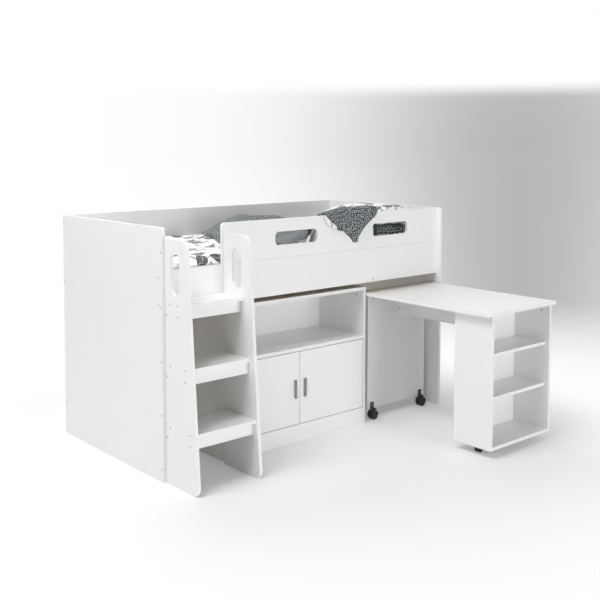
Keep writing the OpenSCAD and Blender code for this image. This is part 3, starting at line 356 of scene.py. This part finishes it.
def puff(piece, settings, held):
    # cloth under inner pressure, grown a little so that it wrinkles; no point ends further than cap from its start,
    # and a point stays put by the share in held, from 0 to 1
    scene = bpy.context.scene
    start = readPoints(piece.data)
    group = piece.vertex_groups.new(name="held")
    group.add(np.flatnonzero(held > 0.99).tolist(), 1.0, "REPLACE")
    cloth = piece.modifiers.new("puff", "CLOTH")
    cloth.settings.vertex_group_mass = "held"
    cloth.settings.use_pressure = True
    cloth.settings.uniform_pressure_force = settings["pressure"]
    cloth.settings.shrink_min = -settings["grow"]
    cloth.settings.tension_stiffness = cloth.settings.compression_stiffness = settings["stiff"]
    cloth.settings.shear_stiffness = settings["stiff"] / 3
    cloth.settings.bending_stiffness = settings["bend"]
    cloth.settings.mass = 0.3
    cloth.settings.quality = 4
    cloth.settings.effector_weights.gravity = 0
    cloth.collision_settings.use_collision = False
    cloth.point_cache.frame_start, cloth.point_cache.frame_end = 1, settings["frames"]
    for step in range(1, settings["frames"] + 1):
        scene.frame_set(step)
    shaped = piece.evaluated_get(bpy.context.evaluated_depsgraph_get())
    move = readPoints(shaped.data) - start
    piece.modifiers.remove(cloth)
    piece.vertex_groups.remove(group)
    scene.frame_set(1)
    far = np.linalg.norm(move, axis=1, keepdims=True)
    print(piece.name, "puffed by up to", round(float(far.max()) * 1000, 1), "mm before the cap")
    move *= np.minimum(1, settings["cap"] / np.maximum(far, 1e-9)) * (1 - held)[:, None]
    piece.data.vertices.foreach_set("co", (start + move).ravel())
    piece.data.update()


def smoothStep(t):
    # 0 below 0, 1 above 1, and t^2 (3 - 2 t) between
    t = np.clip(t, 0, 1)
    return t * t * (3 - 2 * t)


def hill(d):
    # 1 at 0, falling off as exp(-d^2)
    return np.exp(-d * d)


def heap(d):
    # like hill, with a flatter top and steeper sides: exp(-|d|^3)
    return np.exp(-np.abs(d) ** 3)


def crown(u, power):
    # square root of 1 - |2u - 1|^power: 1 in a cushion's middle, 0 at its edges
    return np.sqrt(np.maximum(0, 1 - np.abs(2 * u - 1) ** power))


def ripples(x, y, seed, lengths, waves=16):
    # sum of sine waves in random directions, wavelengths in mm between the two lengths, longer ones higher;
    # about -1 to 1
    draw = np.random.default_rng(seed)
    total = np.zeros(np.broadcast(x, y).shape)
    for _ in range(waves):
        length = math.exp(draw.uniform(math.log(lengths[0]), math.log(lengths[1])))
        way, phase = draw.uniform(0, 2 * math.pi, 2)
        run = x * math.cos(way) + y * math.sin(way)
        total += np.sin(2 * math.pi / length * run + phase) * (length / lengths[1])
    return total / math.sqrt(waves) * 1.4


def box(name):
    # a CAD node's low and high corners in millimetres
    return np.array(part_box(name)) * 1000


railHigh, backLow = box("front_rail")[1], box("back_panel")[0]
guardLow, guardHigh = box("guard_panel")
matLow, matHigh = box("mattress")
duvetLow, duvetHigh = box("duvet")
softLow = duvetLow[2]

# the mattress's sizes in mm; clear is how far its top lies under the solid's, sinkIn and domeIn how far from the
# edge the stitching and the dome reach their full depth
mattress = {"round": 45, "cell": 12, "quilt": 118, "stitch": 9, "sink": 6, "sinkIn": 40, "piping": 4.5,
            "belly": 1.6, "dome": 3, "domeIn": 60, "clear": 0.6}


def makeMattress():
    # a grid over the plan whose corners are drawn onto arcs; the top sinks as exp(-(d / stitch)^2) along two sets of
    # slanting stitch lines; the border goes down from it with a piping at each edge and a slight belly
    long, wide = (matHigh - matLow)[:2]
    high = matHigh[2] - matLow[2]
    rows, cols = round(long / mattress["cell"]) + 1, round(wide / mattress["cell"]) + 1
    x, y = np.meshgrid(np.linspace(-long / 2, long / 2, rows), np.linspace(-wide / 2, wide / 2, cols), indexing="ij")
    inset = mattress["round"]
    cx, cy = np.clip(x, inset - long / 2, long / 2 - inset), np.clip(y, inset - wide / 2, wide / 2 - inset)
    away = np.hypot(x - cx, y - cy)
    fit = np.where(away > inset, inset / np.maximum(away, 1e-9), 1)
    x, y = cx + (x - cx) * fit, cy + (y - cy) * fit
    edge = np.minimum(np.minimum(x + long / 2, long / 2 - x), np.minimum(y + wide / 2, wide / 2 - y))
    lines = [(x * 0.8 + s * y * 1.1) / mattress["quilt"] for s in (1, -1)]
    near = [np.abs(t - np.round(t)) * mattress["quilt"] / mattress["stitch"] for t in lines]
    sink = mattress["sink"] * np.maximum(hill(near[0]), hill(near[1])) * smoothStep(edge / mattress["sinkIn"])
    fall = mattress["dome"] * (1 - smoothStep(edge / mattress["domeIn"]))
    top = high / 2 - mattress["clear"] - sink - fall
    boundary = np.concatenate([np.arange(cols), np.arange(1, rows) * cols + cols - 1,
                               (rows - 1) * cols + np.arange(cols - 2, -1, -1), np.arange(rows - 2, 0, -1) * cols])
    bx, by = x.ravel()[boundary], y.ravel()[boundary]
    outX = bx - np.clip(bx, inset - long / 2, long / 2 - inset)
    outY = by - np.clip(by, inset - wide / 2, wide / 2 - inset)
    size = np.maximum(np.hypot(outX, outY), 1e-9)
    outX, outY = outX / size, outY / size
    p = mattress["piping"]
    start = high / 2 - mattress["clear"] - mattress["dome"]
    profile = [(0, start - 1)] + [(p * math.sin(a) * 0.5 - p * 0.5, start - p + p * math.cos(a))
                                  for a in np.linspace(0.4, 2.7, 7)]
    profile += [(-p * 0.6, start - 2 * p)]
    profile += [(mattress["belly"] * math.sin(t) - p * 0.5, (start - 2.5 * p) * math.cos(t))
                for t in np.linspace(0.02, math.pi - 0.02, 13)]
    profile += [(a, -b) for a, b in profile[8::-1]]
    rings = [np.stack([bx + outX * a, by + outY * a, np.full(len(bx), b)], -1) for a, b in profile]
    points = [np.stack([x, y, top], -1).reshape(-1, 3)] + rings + [np.stack([x, y, -top], -1).reshape(-1, 3)]
    uv = [np.stack([x, y], -1).reshape(-1, 2)]
    around = np.concatenate([[0], np.cumsum(np.hypot(np.diff(bx), np.diff(by)))])
    uv += [np.stack([around, np.full(len(bx), b)], -1) for a, b in profile] + uv
    total, loop = rows * cols, len(boundary)
    closed = np.append(np.arange(loop), 0)
    faces = [gridQuads(rows, cols, 0, True)]
    last = boundary[closed]
    for k in range(len(profile)):
        this = total + k * loop + closed
        faces.append(stripQuads(last, this))
        last = this
    low = total + len(profile) * loop
    faces += [stripQuads(last, low + boundary[closed]), gridQuads(rows, cols, low)]
    points = np.concatenate(points) + (matLow + matHigh) / 2
    return makePiece("mattress_quilted", points * 0.001, np.concatenate(faces), [knitted], "bed", ["mattress"],
                     np.concatenate(uv) * 0.001)


mattressPiece = makeMattress()
print("mattress made")

# the duvet's sizes in mm; x runs from the fold and is below 0 towards the foot. hemAt is the turned part's hem, share
# of the way to the back and x; cornerRows are the corner's edges, share of the hang, left x and right x; ridge and
# pleats are places across the corner and heights; clear is how far the cloth keeps off the guard
duvet = {"thick": 38, "turned": 24, "hem": 8, "gap": 3, "turnOut": 26, "clear": 0.4,
         "hemAt": ((0, -500), (0.06, -600), (0.14, -750), (0.25, -852), (0.36, -826), (0.65, -738), (0.8, -664),
                   (1, -540)),
         "bunch": 100, "bunchAt": (-458, 20), "bunchSize": (275, 200), "crestLow": 24, "cornerRise": 30,
         "cornerHang": 157, "cornerThick": 6, "cornerMid": -186, "cornerReach": 214,
         "cornerRows": ((0, -390, 6), (0.03, -385, -2), (0.09, -373, -14), (0.3, -326, -60), (0.55, -262, -108),
                        (0.82, -203, -144), (1, -178, -154)),
         "ridge": (0.78, 19), "pleats": ((0.82, 11), (0.90, 16), (0.98, 12)),
         "lip": {"wide": 30, "roll": 10, "end": 0.52, "under": 14, "drop": 8, "sag": 10, "thick": 1.3},
         "rows": 92, "turnedCols": 76, "bendCols": 9, "lowCols": 118, "cornerSteps": 36, "lipGrid": (26, 11),
         "puff": {"pressure": 2.0, "grow": 0.05, "stiff": 6, "bend": 0.3, "frames": 14, "cap": 0.007}}
foldX = duvetHigh[0] - duvet["turnOut"]
footX, duvetFront, duvetBack = duvetLow[0], railHigh[1] + 6, backLow[1] - 8
midY = (railHigh[1] + backLow[1]) / 2
guardEdge = guardHigh[2] + duvet["clear"]
cornerTable = np.array(duvet["cornerRows"])


def lowerTop(x, y, v):
    # the lower layer's top over the mattress: 6 mm at its edges and full inside, with ripples; the bunch in the
    # middle of the bed; and the rise to the guard, under the corner
    u = (x + foldX - footX) / (2 * (foldX - footX))
    own = 6 + (duvet["thick"] - 9 + ripples(x, y, 3, (90, 380)) * 6) * crown(u, 14) * crown(v, 10)
    (bunchX, bunchY), (long, wide) = duvet["bunchAt"], duvet["bunchSize"]
    bunch = duvet["bunch"] * heap((x - bunchX) / long) * heap((y - midY - bunchY) / wide)
    rise = guardHigh[2] - softLow - duvet["crestLow"] \
        + duvet["cornerRise"] * 0.7 * hill(1.5 * (x - duvet["cornerMid"]) / duvet["cornerReach"])
    rise = rise * smoothStep((x + 600) / 230) * smoothStep(1.25 - (x + 60) / 130) * hill((y - duvetFront) / 105)
    return own + bunch + rise


def cornerBulge(x):
    # how far the corner stands over the guard's edge: a cubic hump about its middle
    return 1 + duvet["cornerRise"] * np.maximum(0, 1 - np.abs((x - duvet["cornerMid"]) / duvet["cornerReach"]) ** 3)


def pleats(u, width):
    # a few sharp upright folds gathered towards the corner's right end
    return sum(high * hill((u - at) / width) for at, high in duvet["pleats"])


def cornerFace(share, u, bulge):
    # how far the hanging corner stands off the guard: soft waves, and a ridge that runs down it right of its middle
    at, high = duvet["ridge"]
    slope = np.where(u < at, smoothStep(u / at) ** 1.5, smoothStep((1 - u) / (1 - at)) ** 0.8)
    wave = 1.5 * (1 - np.cos(u * 5 * math.pi)) * np.minimum(1, share * 6)
    return 0.5 + wave + 5 * bulge / duvet["cornerRise"] * (1 - share) + high * slope * (1 - 0.55 * share) \
        + 1.1 * pleats(u, 0.026) * (1 - smoothStep(share / 0.5))


def turnedHem(v):
    # x of the turned part's hem: the table's line, averaged over a tenth of the bed's depth, true at the front
    hem = np.array(duvet["hemAt"])
    left = sum(np.interp(v + k, hem[:, 0], hem[:, 1]) for k in np.linspace(-0.05, 0.05, 9)) / 9
    return left + (hem[0, 1] - left[-1]) * (1 - smoothStep(v / 0.1))


def bedSheets():
    # the outer and inner side on the bed: each row runs from the turned part's hem over the fold and along the lower
    # layer to the foot; the rows go from the back to the front, closer together there
    n, t, b, f = (duvet[key] for key in ("rows", "turnedCols", "bendCols", "lowCols"))
    v = 1 - np.linspace(0, 1, n)[:, None] ** 0.8
    y = duvetFront + v * (duvetBack - duvetFront)
    left = turnedHem(v)
    x = left * (1 - np.linspace(0, 1, t)[None, :])
    ys = np.broadcast_to(y, x.shape)
    low = softLow + lowerTop(x, ys, v) + duvet["gap"]
    thick = duvet["hem"] + (duvet["turned"] - duvet["hem"]) * smoothStep((x - left) / 90) \
        * smoothStep((y - duvetFront + 30) / 150)
    creases = (ripples(x, ys * 0.55, 11, (60, 240)) * 5 + ripples(x + 0.5 * ys, ys * 0.3, 12, (40, 90)) * 2) \
        * smoothStep((x - left) / 60) * smoothStep(v / 0.12)
    turnedOut = np.stack([foldX + x, ys, low + thick + creases], -1)
    turnedIn = np.stack([foldX + x, ys, low], -1)
    # half ellipses round the fold, the outer one from the turned part's top down to the mattress
    angle = np.radians(np.linspace(90, -90, b + 2)[1:-1])[None, :]
    zero = np.zeros_like(v)
    middle = softLow + lowerTop(zero, y, v) + duvet["gap"] / 2
    half = (turnedOut[:, -1:, 2] - softLow) / 2
    yb = np.broadcast_to(y, (n, b))
    bendIn = np.stack([foldX + np.cos(angle) * duvet["gap"] / 2 + zero, yb,
                       middle + np.sin(angle) * duvet["gap"] / 2], -1)
    bendOut = np.stack([foldX + np.cos(angle) * duvet["turnOut"] + zero, yb,
                        softLow + half + np.sin(angle) * half], -1)
    x = np.broadcast_to((footX - foldX) * np.linspace(0, 1, f)[None, :], (n, f))
    ys = np.broadcast_to(y, x.shape)
    lowerIn = np.stack([foldX + x, ys, softLow + lowerTop(x, ys, v)], -1)
    lowerOut = np.stack([foldX + x, ys, np.full(x.shape, softLow)], -1)
    lowerIn[-1, 3:] -= [0, 3, 0]  # the front edge droops a little beside the mattress
    lowerOut[-1, 3:] -= [0, 3, 5]
    return np.concatenate([turnedOut, bendOut, lowerOut], 1), np.concatenate([turnedIn, bendIn, lowerIn], 1), left


def cornerSheets(outer, inside):
    # the turned part goes on at its front row: it climbs to the guard's inner edge, crosses it and hangs outside
    thick, hang = duvet["cornerThick"], duvet["cornerHang"] + duvet["clear"]
    u = np.linspace(0, 1, duvet["turnedCols"])[None, :]
    share = np.linspace(0, 1, duvet["cornerSteps"])[:, None] ** 1.15
    lefts, rights = (np.interp(share, cornerTable[:, 0], cornerTable[:, side]) for side in (1, 2))
    x = lefts + (rights - lefts) * u
    bulge = cornerBulge(x)
    off = cornerFace(share, u, bulge)
    down = guardEdge - hang * share + 0.8 * bulge * (1 - smoothStep(share / 0.16)) \
        + pleats(u, 0.022) * 0.8 * (1 - smoothStep(share / 0.12))
    hangIn = np.stack([foldX + x, guardLow[1] - off, down], -1)
    atEdge = smoothStep(share / 0.1)
    hangOut = hangIn + np.stack([0 * x, 0 * x - thick * (0.75 + 0.25 * atEdge),
                                 0.66 * thick * (1 - atEdge) + 0 * x], -1)
    # four rows over the guard, each with its y, its share of the bulge and of the pleats, and the way out
    crestX = cornerTable[0, 1] + (cornerTable[0, 2] - cornerTable[0, 1]) * u
    bulge, lift = cornerBulge(crestX), pleats(u, 0.022)
    across = ((railHigh[1] + duvet["clear"], 0.6, 0.2, (0, 0.8, 0.6)), (railHigh[1] - 5, 0.85, 0.6, (0, 0.4, 0.9)),
              ((guardLow[1] + guardHigh[1]) / 2, 1, 1, (0, 0, 1)), (guardLow[1] + 4, 0.95, 0.95, (0, -0.4, 0.9)))
    crossIn = np.concatenate([np.stack([foldX + crestX, 0 * crestX + at, guardEdge + high * bulge + lift * k], -1)
                              for at, high, k, _ in across])
    crossOut = crossIn + np.array([way for *_, way in across])[:, None, :] * thick
    sides = ((outer, crossOut), (inside, crossIn))
    climbOut, climbIn = ((sheet[-1:, :u.size] + cross[:1]) / 2 for sheet, cross in sides)
    return np.concatenate([climbOut, crossOut, hangOut]), np.concatenate([climbIn, crossIn, hangIn])


def rolledLip():
    # the printed side shows beyond the corner's left hem, a thin rolled strip along it
    lip = duvet["lip"]
    alongCount, acrossCount = duvet["lipGrid"]
    run, s = np.linspace(0, lip["end"], alongCount)[:, None], np.linspace(0, 1, acrossCount)[None, :]
    hem = np.interp(run, cornerTable[:, 0], cornerTable[:, 1])
    reach = lip["wide"] * np.sin(np.pi * np.clip(run / lip["end"], 0, 1) ** 0.75) ** 0.8
    x = foldX + hem + lip["under"] - (lip["under"] + reach) * s
    y = guardLow[1] - 1.2 - lip["roll"] * np.sin(np.pi * 0.62 * s) * np.minimum(1, reach / 12) - 0 * run
    z = guardEdge - (duvet["cornerHang"] + duvet["clear"]) * run - lip["drop"] \
        - lip["sag"] * s * (reach / lip["wide"]) + 0 * s
    return np.stack([x, y - lip["thick"], z], -1), np.stack([x, y, z], -1)


def lengthDown(sheet):
    # arc length down each column, seen along x
    step = np.linalg.norm(np.diff(sheet[..., 1:], axis=0), axis=2)
    return np.concatenate([np.zeros((1, sheet.shape[1])), np.cumsum(step, 0)])


def clothPlace(outer, inside, innerCorner, lip):
    # the cloth's own place: the arc length along each row, from the fold's middle, and down each column
    n, t, b = duvet["rows"], duvet["turnedCols"], duvet["bendCols"]
    base = t + b // 2
    along = np.concatenate([np.zeros((n, 1)), np.cumsum(np.linalg.norm(np.diff(inside, axis=1), axis=2), 1)], 1)
    along = along - along[:, base:base + 1]
    downTurned = lengthDown(np.concatenate([inside[:, :t], innerCorner]))
    bedPlace = np.stack([along, np.concatenate([downTurned[:n], lengthDown(inside[:, t:])], 1)], -1)
    hangPlace = np.stack([along[-1, :t] + 0 * downTurned[n:] + (innerCorner[..., 0] - inside[-1:, :t, 0]),
                          downTurned[n:]], -1)
    wall = np.zeros_like(bedPlace)
    wall[-1, t + b:, 1] = inside[-1, t + b:, 2] - outer[-1, t + b:, 2]
    lipPlace = np.stack([-lip[..., 0], lip[..., 2]], -1)
    sheets = (bedPlace + wall, hangPlace, bedPlace, hangPlace, lipPlace, lipPlace)
    return np.concatenate([sheet.reshape(-1, 2) for sheet in sheets]) * 0.001


def makeDuvet():
    # the sheets on the bed, the hanging corner and the lip, sewn together along their rims
    outer, inside, left = bedSheets()
    outerCorner, innerCorner = cornerSheets(outer, inside)
    lipOut, lipIn = rolledLip()
    (n, cols), (m, t), b = outer.shape[:2], outerCorner.shape[:2], duvet["bendCols"]
    bedOuter = np.arange(n * cols).reshape(n, cols)
    hangOuter = n * cols + np.arange(m * t).reshape(m, t)
    allOuter = n * cols + m * t
    bedInner, hangInner = bedOuter + allOuter, hangOuter + allOuter
    rows = np.vstack([bedOuter[-1:, :t], hangOuter])
    rowQuads = np.concatenate([stripQuads(one, other) for one, other in zip(rows[:-1], rows[1:])])
    rimTurned = np.concatenate([bedOuter[:, 0], hangOuter[:, 0], hangOuter[-1, 1:], hangOuter[-2::-1, -1],
                                bedOuter[-1, t - 1:t + b]])
    rimLower = np.concatenate([bedOuter[-1, t + b - 1:], bedOuter[-2::-1, -1], bedOuter[0, -2:t + b - 2:-1]])
    rimBack = bedOuter[0, t + b - 1::-1]
    firstLip = 2 * allOuter
    lip = firstLip + np.arange(lipOut[..., 0].size).reshape(lipOut.shape[:2])
    lipRim = np.concatenate([lip[0], lip[1:, -1], lip[-1, -2::-1], lip[-2::-1, 0]])
    # each with its material: 0 printed, 1 dotted
    parts = [(gridQuads(n, cols, 0, True), 1), (gridQuads(n, cols, allOuter), 0), (rowQuads[:, ::-1], 1),
             (rowQuads + allOuter, 0), (stripQuads(rimTurned, rimTurned + allOuter, True), 1),
             (stripQuads(rimLower, rimLower + allOuter, True), 0), (stripQuads(rimBack, rimBack + allOuter, True), 1),
             (gridQuads(*lip.shape, firstLip), 0), (gridQuads(*lip.shape, firstLip + lip.size, True), 0),
             (stripQuads(lipRim, lipRim + lip.size, True), 0)]
    shells = (outer, outerCorner, inside, innerCorner, lipOut, lipIn)
    points = np.concatenate([shell.reshape(-1, 3) for shell in shells])
    piece = makePiece("duvet_cover", points * 0.001, np.concatenate([quads for quads, _ in parts]), [cotton, dotted],
                      "bed", ["duvet"], clothPlace(outer, inside, innerCorner, lipIn),
                      np.concatenate([np.full(len(quads), slot) for quads, slot in parts]))
    held = np.zeros(len(points))
    held[bedOuter[:, t + b:].ravel()] = 1  # lies on the mattress
    held[bedInner[:, :t + b].ravel()] = 1  # under the turned part
    held[bedInner[:, t + b:][(inside[:, t + b:, 0] - foldX) > left]] = 1
    held[hangInner.ravel()] = 1
    held[hangOuter.ravel()] = 0.8
    held[firstLip:] = 1
    return piece, held


duvetPiece, duvetHeld = makeDuvet()
puff(duvetPiece, duvet["puff"], duvetHeld)
print("duvet made")

# sizes in mm; drawn is the share by which the sides are drawn in, printAt where the print starts
pillow = {"cell": 8, "press": 14, "seam": 2.4, "drawn": 0.05, "shrink": 10, "low": 3, "printAt": (115, 95),
          "printStep": 37.0, "puff": {"pressure": 4.0, "grow": 0.05, "stiff": 8, "bend": 0.4, "frames": 16,
                                      "cap": 0.010}}


def makePillow(name, node, material, seed):
    # two crowned grids sewn together at their rims; sides drawn in between the corners by 5 % of a parabola
    low, high = box(node)
    size = high - low
    size = size - [pillow["shrink"], pillow["shrink"], 0]
    tall = (size[2] + pillow["press"]) / 2
    rows, cols = round(size[0] / pillow["cell"]) + 1, round(size[1] / pillow["cell"]) + 1
    u, v = np.meshgrid(np.linspace(0, 1, rows), np.linspace(0, 1, cols), indexing="ij")
    x = (u - 0.5) * size[0] * (1 - pillow["drawn"] * (1 - (2 * v - 1) ** 2))
    y = (v - 0.5) * size[1] * (1 - pillow["drawn"] * (1 - (2 * u - 1) ** 2))
    full = crown(u, 2.6) * crown(v, 5.5)
    dent = 1 + 0.05 * ripples(x, y, seed, (150, 420))
    top = pillow["seam"] / 2 + (tall - pillow["low"] - pillow["seam"]) * full * dent
    under = -np.minimum(top, tall - pillow["press"])
    middle = np.array([(low[0] + high[0]) / 2, (low[1] + high[1]) / 2, low[2] + tall - pillow["press"]])
    points = np.concatenate([np.stack([x, y, top], -1).reshape(-1, 3), np.stack([x, y, under], -1).reshape(-1, 3)])
    count = rows * cols
    number = np.arange(count).reshape(rows, cols)
    rim = np.concatenate([number[0], number[1:, -1], number[-1, -2::-1], number[-2::-1, 0]])
    faces = np.concatenate([gridQuads(rows, cols, 0, True), gridQuads(rows, cols, count),
                            stripQuads(rim, rim + count)])
    uv = np.stack([x, y], -1).reshape(-1, 2) + [seed * pillow["printStep"] + at for at in pillow["printAt"]]
    piece = makePiece(name, (points + middle) * 0.001, faces, [material], "bed", [node],
                      np.concatenate([uv, uv + 500]) * 0.001)
    held = np.zeros(2 * count)
    held[count:][under.ravel() <= -(tall - pillow["press"]) + 0.5] = 1
    return piece, held


for name, node, material, slot, seed in (("pillow_dotted", "pillow_lower", dotted, "dotted_cotton", 5),
                                         ("pillow_printed", "pillow_upper", cotton, "printed_cotton", 8)):
    piece, held = makePillow(name, node, material, seed)
    puff(piece, pillow["puff"], held)
print("pillows made")

# metres and degrees; over fade, measured from the origin, the floor turns into the backdrop. Its grey is painted
# shade that lies towards greyTowards as seen from middle, comes in over greyFrom and ends over greyHigh, which is the
# direction's height
room = {"size": 120.0, "floor": "#F4F4F4", "floorShade": "#F0F0F0", "world": 0.30, "glow": 0.13,
        "fade": (0.95, 2.1), "greyFrom": (1.8, 5.2), "middle": (-1.2, -2.14, 0.0), "greyTowards": 55.5,
        "grey": 0.52, "greyWide": 12.0, "greyHigh": (0.045, 0.065), "lampsTo": (0.0, 0.0, 0.6)}
heading = math.radians(room["greyTowards"])
aim = (math.sin(heading), math.cos(heading), 0)


def paintedBackdropShade(tree, way):
    # how bright the backdrop is: white, with a soft painted shade where way points along aim, exp(-(angle /
    # greyWide)^2)
    along = addNode(tree, "VectorMath", {0: way, 1: aim}, 1, operation="DOT_PRODUCT")
    steep = 2 / math.radians(room["greyWide"]) ** 2
    dip = calculate(tree, "EXPONENT", calculate(tree, "MULTIPLY_ADD", along, steep, -steep))
    return calculate(tree, "MULTIPLY_ADD", dip, -room["grey"], 1.0)


floorMesh = bpy.data.meshes.new("floor")
half = room["size"] / 2
floorMesh.from_pydata([(-half, -half, 0), (half, -half, 0), (half, half, 0), (-half, half, 0)], [], [(0, 1, 2, 3)])
floor = bpy.data.objects.new("floor", floorMesh)
bpy.context.scene.collection.objects.link(floor)
# matt white paint, which turns into the backdrop further off. As the camera sees it, the floor glows, which is
# painted light: by the share glow near the bed, where it lifts the floor's shadows, and fully further off
material, tree, shader = newMaterial("painted_floor", 0.6)
place = addNode(tree, "TexCoord", out="Object")
wire(tree, shader, mixColours(tree, noise(tree, place, 1.5, 2.0), room["floor"], room["floorShade"]), None)
away = addNode(tree, "VectorMath", {0: place}, 1, operation="LENGTH")
# painted light: the share of glow that the camera sees, glow near the bed and all of it beyond fade
fade = stepSmoothly(tree, away, room["fade"], room["glow"])
seen = calculate(tree, "MULTIPLY", fade, addNode(tree, "LightPath", out="Is Camera Ray"))
# the backdrop's painted shade comes in on the far floor over greyFrom
tint = stepSmoothly(tree, away, room["greyFrom"])
way = addNode(tree, "VectorMath", {0: place, 1: room["middle"]}, operation="SUBTRACT")
way = addNode(tree, "VectorMath", {0: way}, operation="NORMALIZE")
grey = mixColours(tree, tint, (1, 1, 1, 1), paintedBackdropShade(tree, way))
glow = addNode(tree, "Emission", {0: grey, 1: 1.0})
output = shader.outputs[0].links[0].to_socket
tree.links.new(addNode(tree, "MixShader", {0: seen, 1: shader.outputs[0], 2: glow}), output)
floorMesh.materials.append(material)

world = bpy.data.worlds.new("studio")
bpy.context.scene.world = world
world.use_nodes = True
tree = world.node_tree
tree.nodes.clear()
way = addNode(tree, "TexCoord", out="Generated")
height = addNode(tree, "SeparateXYZ", {0: way}, 2)
# painted shade of the backdrop below greyHigh towards aim, white above it
fade = stepSmoothly(tree, height, room["greyHigh"])
grey = mixColours(tree, fade, paintedBackdropShade(tree, way), (1, 1, 1, 1))
# camera, glossy and transmission rays see the white backdrop with its painted shade; the light it sheds is an even
# dim white
rays = addNode(tree, "LightPath", out=None)
seen = rays.outputs["Is Camera Ray"]
for other in ("Is Glossy Ray", "Is Transmission Ray"):
    seen = calculate(tree, "MAXIMUM", seen, rays.outputs[other])
dim = addNode(tree, "Background", {0: (1, 1, 1, 1), 1: room["world"]})
bright = addNode(tree, "Background", {0: grey, 1: 1.0})
addNode(tree, "OutputWorld", {0: addNode(tree, "MixShader", {0: seen, 1: dim, 2: bright})}, None)

lamps = {"front": {"at": (0.3, -6.8, 0.9), "size": 2.4, "power": 178},
         "behind": {"at": (0.5, 3.5, 4.5), "size": 3.0, "power": 100},
         "above": {"at": (-3.0, -0.5, 5.0), "size": 2.4, "power": 186},
         "left": {"at": (-6.5, 0.0, 2.6), "size": 3.5, "power": 22}}
for name, lamp in lamps.items():
    data = bpy.data.lights.new(name, "AREA")
    data.size, data.energy = lamp["size"], lamp["power"]
    light = bpy.data.objects.new(name, data)
    light.location = lamp["at"]
    light.rotation_euler = (Vector(room["lampsTo"]) - Vector(lamp["at"])).to_track_quat("-Z", "Y").to_euler()
    bpy.context.scene.collection.objects.link(light)
print("room lit")
